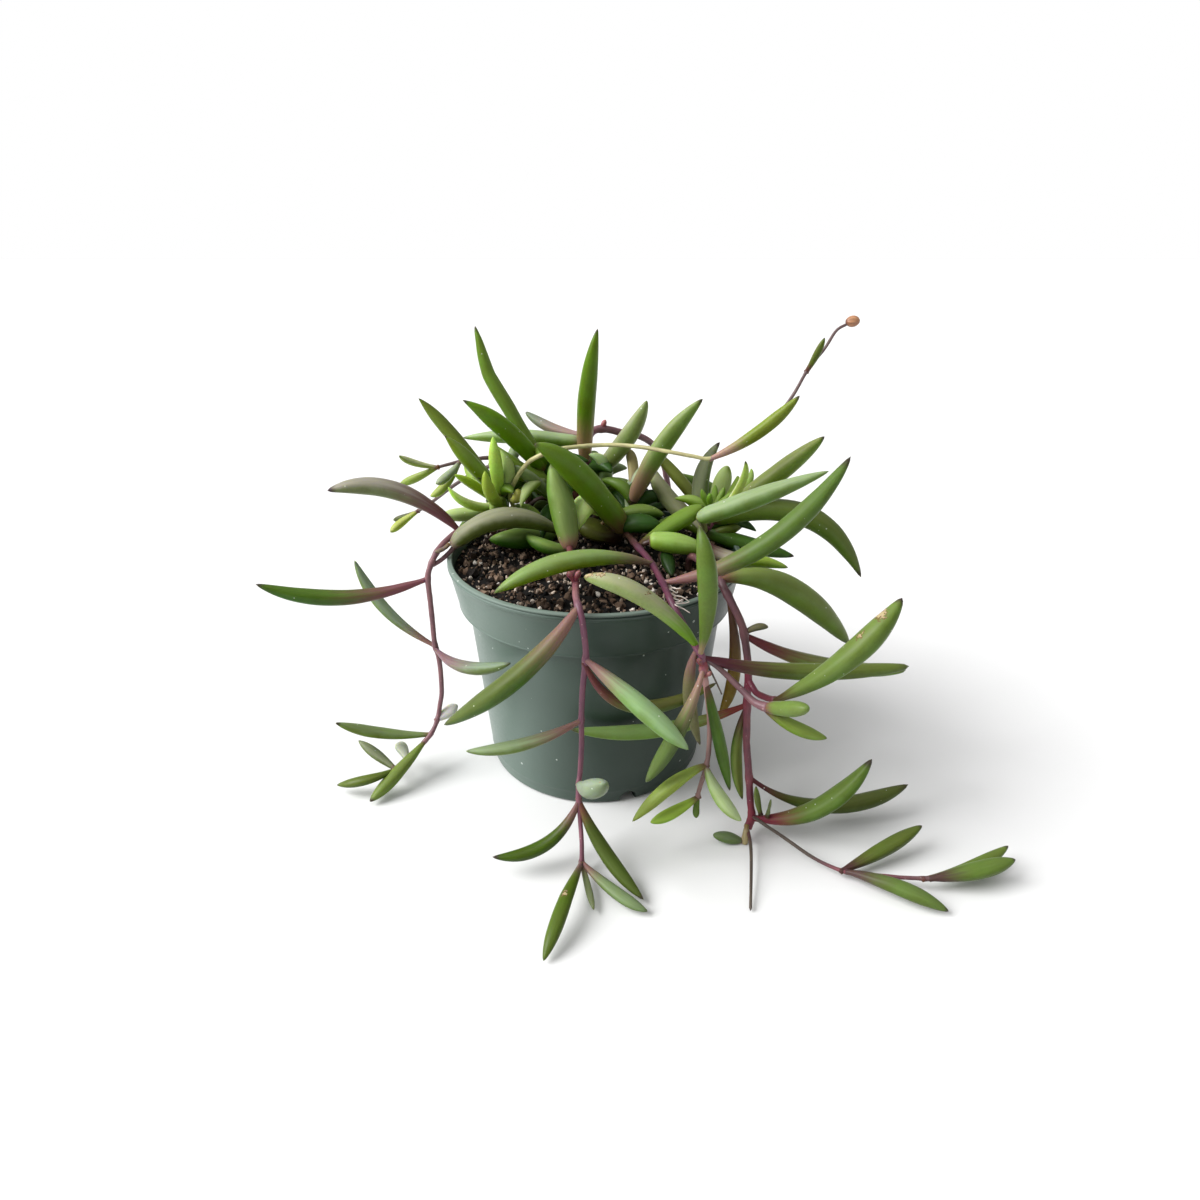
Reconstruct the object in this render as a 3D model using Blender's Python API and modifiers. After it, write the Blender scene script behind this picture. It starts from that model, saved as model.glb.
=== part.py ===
# A potted ruby necklace succulent: purple trailing stems with long fleshy leaves, in a
# round plastic nursery pot filled with potting soil.
# The origin is the middle of the pot's base, +Z is up and the front faces -Y.
# Sizes and places are written in millimetres and turned into metres by MM.

import math

import bmesh
import bpy
from mathutils import Vector, noise

MM = 0.001

# Pot
POT_HEIGHT = 81.5
RIM_RADIUS = 52.5
LIP_HEIGHT = 2.2
LIP_PROUD = 0.5
CORNER = 0.5
STEP_CORNER = 0.8
COLLAR_HEIGHT = 16.6
COLLAR_FOOT_RADIUS = 49.4
WALL_TOP_RADIUS = 46.2
BASE_RADIUS = 40.5
FOOT_ROUNDING = 1.4
POT_WALL = 1.3
FLOOR_CORNER = 1.2
ROUND_STEPS = 40
DRAIN_COUNT = 4
DRAIN_RADIUS = 3.0
DRAIN_HEIGHT = 1.2
DRAIN_DEPTH = 12.0
DRAIN_FIRST_ANGLE = math.radians(-73)
GAP = 0.35

# Soil
SOIL_TOP = 77.6
SOIL_RADIUS = 49.8
SOIL_RELIEF = 1.3
SOIL_LUMP = 5.0
SOIL_RINGS = 7
SOIL_LUMP_SHARE = 0.7
SOIL_SWELL_SHARE = 0.6
SOIL_EDGE_POWER = 8
HOLE_BOTTOM = 73.4
HOLE_TOP = 90.0
HOLE_SIDES = 8

# Leaves and stems
LEAF_SIDES = 6
LEAF_RINGS = 6
LEAF_TOP = 0.8
LEAF_KEEL = 0.95
LEAF_FULLNESS = 0.6
LEAF_WIDEST_SKEW = 1.35
STALK_RADIUS = 0.75
STALK_SHARE = 0.2
TIP_RADIUS = 0.3
POINTS_PER_SPAN = 1
ROOT_DEPTH = 1.2
END_INSET = 0.1
FLOOR_CLEARANCE = 0.25

# Each leafy stem is a list of axes, the first one rooted in the soil. An axis has its
# radius at the root and at the tip, its route, and its leaves. A leaf is the place on the
# route where it grows, counted in route points, then its middle, its tip and its width.
STEMS = {
    "left_trailing_stem": [
        dict(
            radii=(1.2, 0.8),
            route=[
                (-37, 12, 74), (-37, 12, 80), (-39, 9, 86), (-47, 0, 89), (-52, -5, 87), (-55, -9, 84),
                (-57, -12, 80), (-58, -13, 76), (-58, -13, 68), (-58, -13, 58), (-58, -13, 50),
                (-57, -13, 43), (-57, -14, 31), (-58, -15, 25), (-59, -17, 20), (-61, -20, 16),
                (-65, -23, 12), (-70, -27, 8), (-74, -31, 7),
            ],
            leaves=[
                (3.2, (-67.5, -3, 104.3), (-90, -8, 106), 7.2),
                (5.8, (-35, -1, 94.5), (-10, 8, 88), 9.2),
                (7.0, (-88, -15, 69.7), (-115, -20, 77), 6.1),
                (10.1, (-76.4, -5, 59.6), (-87, 0, 77.3), 4.6),
                (10.3, (-44, -31, 51), (-27, -42, 59), 5.0),
                (14.0, (-56, -14, 21), (-52, -12, 23), 5.1),
                (15.1, (-78, -23, 18), (-93, -28, 26), 4.7),
                (15.6, (-72, -32, 7), (-80, -42, 2), 5.0),
                (16.9, (-72, -22, 10), (-75, -18, 9), 2.7),
                (17.7, (-80, -26, 10), (-88, -22, 14), 3.7),
                (18.0, (-82, -36, 7), (-94, -34, 3), 3.8),
            ],
        ),
    ],
    "front_trailing_stem": [
        dict(
            radii=(1.2, 0.7),
            route=[
                (-9, 0, 74), (-9, 0, 80), (-9, -4, 85), (-8, -18, 86), (-6, -36, 85.5), (-5.5, -48, 86),
                (-4.5, -54, 85), (-3.5, -56, 82), (-2.5, -57, 73), (-2.5, -57, 69), (-3.5, -58, 59),
                (-4, -58, 48), (-4, -58, 39), (-4.5, -60, 30), (-5, -62, 26), (-5, -64, 21),
                (-4.5, -67, 15), (-4, -71, 10), (-4, -73, 3.5),
            ],
            leaves=[
                (2.3, (-11, -4, 99), (-15, 0, 113), 7.7),
                (2.4, (-17, -2, 82), (-24, 2, 85), 3.6),
                (4.1, (-7, -39, 87), (-7, -40, 88.5), 2.5),
                (5.9, (-21, -62, 68), (-47, -58, 46), 6.0),
                (9.0, (13, -68, 60.5), (28, -72, 47), 6.2),
                (9.1, (12, -58, 53), (39, -49, 56), 4.7),
                (11.0, (-21, -62, 42), (-40, -62, 39), 4.5),
                (14.0, (-1, -76, 36), (3, -88, 47.2), 6.6),
                (14.9, (-15, -71, 10), (-32, -75, 8), 4.5),
                (14.9, (2.7, -73, 9.5), (15, -87, 2.5), 4.2),
                (18.0, (6, -85, 4), (16, -91, 2), 3.9),
                (18.0, (-9, -93, 6), (-14, -108, 1.5), 4.3),
                (18.0, (-2, -82, 3), (0, -91, 2.5), 2.1),
            ],
        ),
    ],
    "centre_right_trailing_stem": [
        dict(
            radii=(1.3, 0.7),
            route=[
                (-1, 22, 74), (-1, 22, 83), (2.5, 16, 90), (6.5, 10, 88), (11, 4, 86.5),
                (14.5, -7, 86), (18.5, -20, 85.5), (21.5, -36, 85), (23, -49, 85), (26.5, -55, 80),
                (30.5, -59, 74), (32, -60, 71.5), (33.5, -60, 63), (35.5, -60, 50), (36, -60, 38),
                (35.5, -60, 31), (34, -60, 23), (33.5, -60, 19),
            ],
            leaves=[
                (3.6, (-4, -3, 111), (-20, -10, 122), 7.2),
                (2.0, (-4, 8, 99), (-6, 6, 88), 7.2),
                (5.4, (5, -2, 85), (-5, 4, 87), 8.6),
                (3.0, (17, 10, 94), (24, 10, 91), 5.1),
                (3.5, (17, 4, 93), (22, 4, 89), 5.8),
                (5.1, (27, 0, 92), (38, 2, 97), 6.4),
                (5.2, (38, -10, 89), (70, -10, 82), 7.0),
                (6.2, (-6, -34, 92), (-31, -42, 84), 6.6),
                (7.0, (24, -32, 87), (23, -26, 91), 2.6),
                (7.0, (51, -42, 100), (76, -34, 125), 7.1),
                (9.8, (15.6, -62, 91.2), (-3, -58, 96), 6.6),
                (10.5, (31, -70, 97), (28, -66, 115), 5.2),
                (11.0, (62, -52, 62), (102, -42, 57.8), 6.0),
                (11.4, (27, -66, 54), (16, -66, 30), 5.5),
                (10.1, (29, -58, 59), (34, -55, 36), 3.7),
                (12.0, (38, -62, 46), (43, -64, 25), 4.4),
                (14.9, (25, -64, 28), (12, -68, 16), 4.6),
                (14.9, (39, -67, 26), (46, -71, 19), 5.2),
                (17.0, (26, -63, 16), (18, -65, 13), 4.0),
                (17.0, (33, -62, 16), (33, -64, 14), 2.2),
            ],
        ),
        dict(
            radii=(0.8, 0.7),
            route=[(33, -60, 71), (38, -60, 67), (43, -64, 63.5), (47, -68, 61), (50.5, -71, 61)],
            leaves=[
                (4.0, (55, -78, 65), (58, -84, 69), 4.3),
                (3.5, (57, -74, 57), (67, -76, 54), 4.3),
            ],
        ),
    ],
    "right_trailing_stem": [
        dict(
            radii=(1.3, 1.0),
            route=[
                (33, -8, 74), (33, -8, 80), (34, -13, 84), (40, -28, 84), (40.5, -36, 84), (43, -40, 80),
                (46.5, -42, 73), (48, -43, 67), (49, -44, 61.5), (49.5, -45, 56.5), (49.5, -46, 49.5),
                (50, -47, 40.5), (50.5, -48, 31), (51.5, -50, 22.5), (52.5, -53, 11.5), (53, -55, 7),
                (51.5, -57, 3),
            ],
            leaves=[
                (3.7, (64.5, -30, 77.6), (85, -24, 55), 8.3),
                (3.2, (49, -24, 87), (65, -20, 83), 5.0),
                (4.6, (47, -34, 53), (43, -34, 33), 4.4),
                (6.5, (51, -42, 72), (55, -42, 72), 2.4),
                (6.5, (65, -36, 59), (85, -32, 56), 5.1),
                (10.4, (22, -46, 36), (-8, -49, 38), 5.6),
                (10.5, (48, -45, 26), (51, -48, 8), 4.2),
                (13.2, (77, -52, 9), (108, -46, 13), 6.1),
                (15.1, (72, -61, 15), (87, -62, 36), 7.0),
                (15.1, (56, -54, 12), (54, -52, 17), 3.2),
                (15.0, (58, -58, 10), (58, -58, 17), 1.6),
                (15.0, (61, -54, 5), (67, -52, 7), 2.9),
                (15.9, (45, -64, 5), (39, -64, 6), 4.5),
            ],
        ),
        dict(
            radii=(0.7, 0.5),
            route=[
                (53, -55, 7), (55.5, -61, 9), (62, -65, 6.5), (69, -70, 4), (74.5, -73.5, 3),
                (80, -76.5, 3), (87.5, -77.5, 3), (95, -79, 3.5), (102, -80.5, 4.5), (105.5, -81, 5),
            ],
            leaves=[
                (4.7, (92, -70, 6), (107, -63, 10), 5.0),
                (5.0, (92, -84, 5), (106, -91, 2), 5.2),
                (8.5, (117, -80, 7), (131, -77, 9), 5.7),
                (8.0, (117, -77, 5), (133, -69, 7), 4.4),
            ],
        ),
        dict(
            radii=(1.1, 1.0),
            route=[(49.5, -45, 54.5), (51.3, -50, 53), (53.4, -55, 54.2), (55.3, -60, 56.5)],
            leaves=[(3.0, (72.4, -66, 74.5), (87, -62, 92), 8.0)],
        ),
        dict(
            radii=(0.6, 0.45),
            route=[(51.5, -57, 3.5), (51, -66, 4), (49.5, -76, 3), (47, -90, 1)],
            leaves=[],
        ),
    ],
    "left_rosette": [
        dict(
            radii=(1.7, 1.4),
            route=[(-33, 22, 74), (-33, 22, 82), (-35, 19, 92), (-35, 17, 97)],
            leaves=[
                (2.0, (-43, 10, 102), (-49, 4, 108), 6.3),
                (1.9, (-45, 10, 95), (-52, 6, 103), 5.2),
                (1.7, (-48, 14, 90), (-56, 10, 91), 4.9),
                (3.0, (-35, 9, 109), (-35, 6, 121), 4.7),
                (1.8, (-36, 4, 101), (-36, 0, 110), 4.5),
                (2.7, (-31, 13, 106), (-33, 12, 115), 4.1),
                (2.7, (-44, 14, 109), (-53, 12, 120), 7.0),
                (2.7, (-44, 24, 100), (-49, 26, 106), 4.2),
                (3.0, (-53, 26, 117), (-64, 26, 130), 5.8),
                (1.2, (-31, 5, 83), (-37, 0, 85), 5.9),
            ],
        ),
    ],
    "left_tall_shoot": [
        dict(
            radii=(1.7, 1.3),
            route=[(-15, 29, 74), (-15, 29, 83), (-19, 26, 100), (-21, 27, 108)],
            leaves=[
                (3.0, (-35, 30, 132.5), (-43, 34, 154), 5.2),
                (2.3, (-30.7, 14, 121), (-45, 8, 133), 8.0),
                (2.0, (-29, 22, 107), (-35, 22, 116), 6.0),
                (1.9, (-22, 13, 101), (-25, 8, 96), 4.1),
            ],
        ),
    ],
    "middle_shoot": [
        dict(
            radii=(1.7, 1.0),
            route=[
                (2, 38, 74), (2, 38, 84), (-2, 36, 100), (-5, 35, 108), (-2, 38, 114),
                (2.5, 40, 115.5), (10.5, 44, 113), (18, 48, 110.5), (24.5, 54, 104.5), (29, 60, 94),
                (32, 65, 80), (33, 67, 64), (32, 69, 48), (30, 72, 34),
            ],
            leaves=[
                (2.7, (-3, 28, 130), (1, 26, 154), 6.0),
                (1.8, (11, 26, 114.5), (18.6, 22, 130), 7.2),
                (1.7, (3, 29, 104), (-1, 27, 111), 4.6),
                (3.4, (-26, 38, 113), (-52, 42, 111.5), 5.8),
                (3.9, (-16, 46, 114), (-28, 54, 119), 3.6),
                (5.0, (3, 40, 117), (4, 40, 119), 2.4),
                (9.2, (48, 68, 84), (63, 76, 72), 6.0),
                (9.9, (16, 76, 74), (-2, 84, 62), 6.2),
                (10.8, (44, 78, 60), (56, 88, 44), 5.4),
                (11.6, (18, 78, 50), (6, 86, 34), 5.2),
                (12.4, (42, 80, 36), (52, 88, 22), 4.6),
                (13.0, (24, 78, 24), (18, 86, 12), 4.6),
                (13.0, (34, 80, 26), (38, 90, 18), 3.8),
            ],
        ),
    ],
    "centre_right_shoot": [
        dict(
            radii=(1.6, 1.3),
            route=[(15, 21, 74), (15, 21, 83), (14, 18, 94)],
            leaves=[
                (2.0, (23, 13, 115), (37, 10, 133), 7.3),
                (2.0, (17, 28, 103), (16, 32, 107), 4.6),
                (2.0, (9, 18, 102), (4, 17, 100), 5.6),
            ],
        ),
    ],
    "right_rosette": [
        dict(
            radii=(1.7, 1.4),
            route=[(41, 12, 74), (41, 12, 82), (44, 10, 90)],
            leaves=[
                (1.8, (63, 4, 108), (78, 2, 122), 7.3),
                (1.8, (51, -16, 105.3), (76, -16, 115), 6.2),
                (1.7, (76, 2, 93.4), (96, -4, 72), 7.0),
                (1.7, (40, 18, 102), (45, 14, 117), 7.2),
                (1.7, (31, 26, 100), (17, 36, 114), 4.2),
                (1.4, (28, 20, 93), (22, 24, 105), 6.8),
                (2.0, (45, 6, 102), (42, 6, 109), 5.8),
                (2.0, (50, 12, 98), (52, 16, 104), 4.5),
                (2.0, (51, 2, 104), (51, -2, 114), 3.0),
                (2.0, (55, 18, 98), (58, 22, 105), 3.0),
            ],
        ),
    ],
    "back_left_stem": [
        dict(
            radii=(1.3, 0.6),
            route=[
                (-26, 36, 74), (-26, 36, 83), (-31, 43, 95), (-40, 46, 102), (-53, 44, 101.5),
                (-63.5, 42, 99.5),
            ],
            leaves=[
                (5.0, (-71, 40, 102), (-76, 36, 106), 2.9),
                (5.0, (-72, 44, 95), (-80, 48, 91), 3.8),
                (4.1, (-58, 36, 98), (-62, 32, 96), 3.6),
                (4.1, (-60, 40, 93), (-66, 38, 89), 3.7),
            ],
        ),
        dict(
            radii=(0.9, 0.6),
            route=[(-37, 46, 101), (-48, 49, 96), (-58, 50, 90), (-70, 54, 80.5), (-76.5, 56, 76)],
            leaves=[
                (4.0, (-83, 58, 73), (-88, 60, 71), 3.1),
                (4.0, (-83, 54, 72), (-87, 50, 69), 4.0),
            ],
        ),
    ],
    "back_trailing_stem": [
        dict(
            radii=(1.3, 0.8),
            route=[
                (-12, 42, 74), (-12, 42, 82), (-13.5, 45.5, 86), (-17, 52, 87), (-19, 57, 83),
                (-20, 59.5, 75), (-20, 60, 68), (-21, 62, 54), (-24, 65, 42), (-28, 70, 34),
            ],
            leaves=[
                (2.0, (8, 52, 90), (20, 58, 80), 6.2),
                (3.0, (-34, 60, 88), (-48, 66, 76), 6.4),
                (5.0, (-6, 70, 74), (4, 78, 60), 5.6),
                (6.0, (-36, 66, 66), (-48, 74, 52), 5.6),
                (7.0, (-12, 74, 48), (-4, 84, 36), 5.0),
                (8.0, (-38, 74, 38), (-50, 80, 30), 4.6),
                (9.0, (-30, 78, 26), (-28, 88, 16), 4.4),
                (9.0, (-36, 74, 28), (-44, 80, 20), 3.6),
            ],
        ),
    ],
}

FLOWER_STEM = dict(
    radii=(0.9, 0.45),
    route=[
        (-26, 18, 74), (-26, 18, 83), (-31, 16, 94), (-29.5, 12, 102), (-24, 6, 111), (-19, 3, 115),
        (-12.5, 4, 117), (-1.5, 7, 117.5), (7.5, 6, 118), (16, 3, 118), (25, -1, 117.5),
        (33, -3, 116.5), (39, -4, 116), (46.5, -2, 118.5), (57, 2, 124), (65.5, 4, 134),
        (70.5, 5, 143.5), (75.5, 6, 150), (78.5, 6, 155.5), (81.5, 6, 157.5), (83.5, 6, 158.5),
    ],
    leaves=[
        (2.2, (-28.5, 11, 97), (-28, 10, 101), 3.3),
        (12.0, (53, -6, 125), (65, -10, 138), 5.0),
        (16.0, (72, 3, 148), (74, 2, 154), 2.6),
    ],
)
BUD_RADII = (2.4, 1.8, 1.8)
BUD_SIDES = 8
BUD_RINGS = 6
SMOOTH_ANGLE = math.radians(40)


def clear_scene():
    for obj in list(bpy.data.objects):
        bpy.data.objects.remove(obj, do_unlink=True)


def new_collection(name, helper=False):
    collection = bpy.data.collections.new(name)
    bpy.context.scene.collection.children.link(collection)
    collection.hide_render = helper
    return collection


def principled(name, colour, roughness):
    material = bpy.data.materials.new(name)
    material.use_nodes = True
    shader = material.node_tree.nodes["Principled BSDF"]
    shader.inputs["Base Color"].default_value = (*colour, 1)
    shader.inputs["Roughness"].default_value = roughness
    material.diffuse_color = (*colour, 1)
    return material


def add_object(name, mesh, collection, material=None):
    obj = bpy.data.objects.new(name, mesh)
    collection.objects.link(obj)
    if material:
        mesh.materials.append(material)
    return obj


def evaluated_mesh(obj, name):
    graph = bpy.context.evaluated_depsgraph_get()
    mesh = bpy.data.meshes.new_from_object(obj.evaluated_get(graph))
    mesh.name = name
    return mesh


# Turned shapes

def turned_mesh(name, profile, steps, collection):
    """A closed solid turned from a profile of (radius, height), run down its outer side."""
    mesh = bpy.data.meshes.new(name + "_profile")
    bm = bmesh.new()
    points = [bm.verts.new((radius * MM, 0, height * MM)) for radius, height in profile]
    for first, second in zip(points, points[1:]):
        bm.edges.new((first, second))
    bm.to_mesh(mesh)
    bm.free()
    turned = add_object(name + "_profile", mesh, collection)
    screw = turned.modifiers.new("Screw", "SCREW")
    screw.steps = steps
    screw.render_steps = steps
    screw.use_merge_vertices = True
    screw.merge_threshold = 0.00001
    bpy.context.view_layer.update()
    solid = evaluated_mesh(turned, name)
    bpy.data.objects.remove(turned, do_unlink=True)
    return solid


def wall_radius(height):
    """The outer radius of the pot's tapered wall at a height below the collar."""
    share = height / (POT_HEIGHT - COLLAR_HEIGHT)
    return BASE_RADIUS + (WALL_TOP_RADIUS - BASE_RADIUS) * share


def foot_arc(steps=3):
    """The rounded foot between the wall and the flat base."""
    centre_radius = wall_radius(FOOT_ROUNDING) - FOOT_ROUNDING
    for step in range(1, steps + 1):
        angle = math.radians(90) * step / steps
        yield (
            centre_radius + FOOT_ROUNDING * math.cos(angle),
            FOOT_ROUNDING - FOOT_ROUNDING * math.sin(angle),
        )


def pot_profile():
    step_height = POT_HEIGHT - COLLAR_HEIGHT
    collar_top = RIM_RADIUS - LIP_PROUD
    outer = [
        (RIM_RADIUS - CORNER, POT_HEIGHT),
        (RIM_RADIUS, POT_HEIGHT - CORNER),
        (RIM_RADIUS, POT_HEIGHT - LIP_HEIGHT),
        (collar_top, POT_HEIGHT - LIP_HEIGHT - CORNER),
        (COLLAR_FOOT_RADIUS, step_height + STEP_CORNER),
        (COLLAR_FOOT_RADIUS - STEP_CORNER, step_height),
        (WALL_TOP_RADIUS, step_height - CORNER),
        (wall_radius(FOOT_ROUNDING), FOOT_ROUNDING),
        *foot_arc(),
        (0, 0),
    ]
    inner = [
        (0, POT_WALL),
        (BASE_RADIUS - POT_WALL - FLOOR_CORNER, POT_WALL),
        (WALL_TOP_RADIUS - POT_WALL, step_height - CORNER),
        (COLLAR_FOOT_RADIUS - POT_WALL, step_height + STEP_CORNER),
        (collar_top - POT_WALL, POT_HEIGHT - LIP_HEIGHT),
        (collar_top - POT_WALL, POT_HEIGHT),
    ]
    return [*outer, *inner, outer[0]]


def soil_profile():
    step_height = POT_HEIGHT - COLLAR_HEIGHT
    wall = POT_WALL + GAP
    top = [(SOIL_RADIUS * ring / SOIL_RINGS, SOIL_TOP) for ring in range(SOIL_RINGS + 1)]
    side = [
        (COLLAR_FOOT_RADIUS - wall, step_height + STEP_CORNER + GAP),
        (WALL_TOP_RADIUS - wall, step_height - CORNER + GAP),
        (BASE_RADIUS - wall - FLOOR_CORNER, POT_WALL + GAP),
        (0, POT_WALL + GAP),
    ]
    return [*top, *side]


def cylinder_cutter(name, centre, radius, depth, direction, collection, sides=10):
    mesh = bpy.data.meshes.new(name)
    bm = bmesh.new()
    bmesh.ops.create_cone(
        bm,
        cap_ends=True,
        segments=sides,
        radius1=radius * MM,
        radius2=radius * MM,
        depth=depth * MM,
    )
    bm.to_mesh(mesh)
    bm.free()
    cutter = add_object(name, mesh, collection)
    cutter.location = Vector(centre) * MM
    cutter.rotation_euler = Vector(direction).to_track_quat("Z", "Y").to_euler()
    cutter.display_type = "WIRE"
    cutter.hide_render = True
    return cutter


def combine(obj, collection, operation):
    """One Boolean with every object of a collection, applied to the object's mesh."""
    boolean = obj.modifiers.new(operation.title(), "BOOLEAN")
    boolean.operation = operation
    boolean.operand_type = "COLLECTION"
    boolean.collection = collection
    boolean.solver = "EXACT"
    bpy.context.view_layer.update()
    mesh = evaluated_mesh(obj, obj.name)
    obj.modifiers.clear()
    obj.data = mesh
    for other in list(collection.objects):
        bpy.data.objects.remove(other, do_unlink=True)


def build_pot(parts, material):
    pot = add_object("pot", turned_mesh("pot", pot_profile(), ROUND_STEPS, parts), parts, material)
    drains = new_collection("drain_cutters", helper=True)
    for number in range(DRAIN_COUNT):
        angle = DRAIN_FIRST_ANGLE + 2 * math.pi * number / DRAIN_COUNT
        outward = Vector((math.cos(angle), math.sin(angle), 0))
        centre = outward * BASE_RADIUS + Vector((0, 0, DRAIN_HEIGHT))
        cylinder_cutter(f"drain_cutter_{number}", centre, DRAIN_RADIUS, DRAIN_DEPTH, outward, drains)
    combine(pot, drains, "DIFFERENCE")
    smooth_sides(pot)
    return pot


def soil_height(x, y):
    """The lumpy top of the soil, in millimetres."""
    lump = noise.noise(Vector((x, y, 3.0)) / SOIL_LUMP)
    swell = noise.noise(Vector((x, y, 9.0)) / (4 * SOIL_LUMP))
    level_edge = 1 - min(1, math.hypot(x, y) / SOIL_RADIUS) ** SOIL_EDGE_POWER
    relief = SOIL_LUMP_SHARE * lump + SOIL_SWELL_SHARE * swell
    return SOIL_TOP + SOIL_RELIEF * relief * level_edge


def build_soil(parts, material):
    mesh = turned_mesh("soil", soil_profile(), ROUND_STEPS, parts)
    for vertex in mesh.vertices:
        if abs(vertex.co.z - SOIL_TOP * MM) < 0.01 * MM:
            vertex.co.z = soil_height(vertex.co.x / MM, vertex.co.y / MM) * MM
    soil = add_object("soil", mesh, parts, material)
    holes = new_collection("stem_hole_cutters", helper=True)
    axes = [axes[0] for axes in STEMS.values()] + [FLOWER_STEM]
    middle = (HOLE_BOTTOM + HOLE_TOP) / 2
    for number, axis in enumerate(axes):
        x, y, _ = axis["route"][0]
        radius = axis["radii"][0] + 2 * GAP
        depth = HOLE_TOP - HOLE_BOTTOM
        cylinder_cutter(f"stem_hole_{number}", (x, y, middle), radius, depth, (0, 0, 1), holes, HOLE_SIDES)
    combine(soil, holes, "DIFFERENCE")
    return soil


# Stems and leaves

def on_route(route, at):
    """The place at a count of route points, on a smooth curve through them."""
    index = min(int(at), len(route) - 2)
    share = at - index
    before = Vector(route[max(index - 1, 0)])
    start = Vector(route[index])
    end = Vector(route[index + 1])
    after = Vector(route[min(index + 2, len(route) - 1)])
    return 0.5 * (
        2 * start
        + (end - before) * share
        + (2 * before - 5 * start + 4 * end - after) * share**2
        + (3 * start - before - 3 * end + after) * share**3
    )


def leaf_root(axis, at):
    """Where a leaf grows: at the end of an axis it is set a little way down it."""
    return on_route(axis["route"], min(at, len(axis["route"]) - 1 - END_INSET))


def stem_piece(name, axis, collection):
    """A round tapered stem along its route."""
    route = axis["route"]
    thick, thin = axis["radii"]
    count = (len(route) - 1) * POINTS_PER_SPAN
    curve = bpy.data.curves.new(name, "CURVE")
    curve.dimensions = "3D"
    curve.bevel_depth = MM
    curve.bevel_resolution = 1
    curve.use_fill_caps = True
    spline = curve.splines.new("POLY")
    spline.points.add(count)
    for number, point in enumerate(spline.points):
        place = on_route(route, number / POINTS_PER_SPAN) * MM
        point.co = (*place, 1)
        point.radius = thick + (thin - thick) * number / count
    tube = bpy.data.objects.new(name + "_curve", curve)
    collection.objects.link(tube)
    bpy.context.view_layer.update()
    mesh = evaluated_mesh(tube, name)
    bpy.data.objects.remove(tube, do_unlink=True)
    bm = bmesh.new()
    bm.from_mesh(mesh)
    bmesh.ops.remove_doubles(bm, verts=bm.verts, dist=0.00001)
    bmesh.ops.recalc_face_normals(bm, faces=bm.faces)
    bm.to_mesh(mesh)
    bm.free()
    return add_object(name, mesh, collection)


def leaf_half_width(share):
    """A narrow stalk, widest past the middle, and a blunt point."""
    return math.sin(math.pi * share**LEAF_WIDEST_SKEW) ** LEAF_FULLNESS if 0 < share < 1 else 0


def leaf_piece(name, root, middle, tip, width, collection):
    """A fleshy leaf, flatter on top and keeled below, bent along a curve through three places."""
    middle, tip = Vector(middle), Vector(tip)
    root = root - (middle - root).normalized() * ROOT_DEPTH
    control = 2 * middle - (root + tip) / 2
    chord = (tip - root).normalized()
    facing = Vector((0, 0, 1)) - chord * chord.z
    bm = bmesh.new()
    bmesh.ops.create_uvsphere(bm, u_segments=LEAF_SIDES, v_segments=LEAF_RINGS, radius=1)
    for vertex in bm.verts:
        share = math.acos(max(-1, min(1, vertex.co.z))) / math.pi
        centre = root * (1 - share) ** 2 + control * 2 * share * (1 - share) + tip * share**2
        along = ((control - root) * (1 - share) + (tip - control) * share).normalized()
        side = along.cross(facing).normalized()
        up = side.cross(along)
        across = Vector((vertex.co.x, vertex.co.y))
        if across.length > 1e-4:
            across.normalize()
            half = max(width / 2 * leaf_half_width(share), STALK_RADIUS if share < 0.5 else TIP_RADIUS)
            thickness = LEAF_TOP if across.y > 0 else LEAF_KEEL
            if share < STALK_SHARE:
                thickness = 1
            place = centre + side * across.x * half + up * across.y * half * thickness
        else:
            place = centre
        place.z = max(place.z, FLOOR_CLEARANCE)
        vertex.co = place * MM
    bmesh.ops.recalc_face_normals(bm, faces=bm.faces)
    mesh = bpy.data.meshes.new(name)
    bm.to_mesh(mesh)
    bm.free()
    return add_object(name, mesh, collection)


def build_leafy_stem(name, axes, parts, material):
    """One leafy stem: its axes and all their leaves, joined in one solid."""
    joined = new_collection(name + "_pieces", helper=True)
    for number, axis in enumerate(axes):
        stem = stem_piece(f"{name}_axis_{number}", axis, joined)
        if number == 0:
            main = stem
        for count, (at, middle, tip, width) in enumerate(axis["leaves"]):
            root = leaf_root(axis, at)
            leaf_piece(f"{name}_leaf_{number}_{count}", root, middle, tip, width, joined)
    joined.objects.unlink(main)
    parts.objects.link(main)
    main.name = name
    main.data.materials.append(material)
    combine(main, joined, "UNION")
    smooth_sides(main)
    return main


def build_flower_stem(parts, material):
    """The thin flower stalk with its two small leaves and the bud at its end."""
    name = "flower_stem"
    joined = new_collection(name + "_pieces", helper=True)
    main = stem_piece(name + "_stalk", FLOWER_STEM, joined)
    for count, (at, middle, tip, width) in enumerate(FLOWER_STEM["leaves"]):
        root = leaf_root(FLOWER_STEM, at)
        leaf_piece(f"{name}_leaf_{count}", root, middle, tip, width, joined)
    bm = bmesh.new()
    bmesh.ops.create_uvsphere(bm, u_segments=BUD_SIDES, v_segments=BUD_RINGS, radius=MM)
    bmesh.ops.scale(bm, vec=BUD_RADII, verts=bm.verts)
    bmesh.ops.translate(bm, vec=Vector(FLOWER_STEM["route"][-1]) * MM, verts=bm.verts)
    mesh = bpy.data.meshes.new(name + "_bud")
    bm.to_mesh(mesh)
    bm.free()
    add_object(name + "_bud", mesh, joined)
    joined.objects.unlink(main)
    parts.objects.link(main)
    main.name = name
    main.data.materials.append(material)
    combine(main, joined, "UNION")
    smooth_sides(main)
    return main


def smooth_sides(obj):
    obj.data.shade_smooth()
    obj.data.set_sharp_from_angle(angle=SMOOTH_ANGLE)


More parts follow.
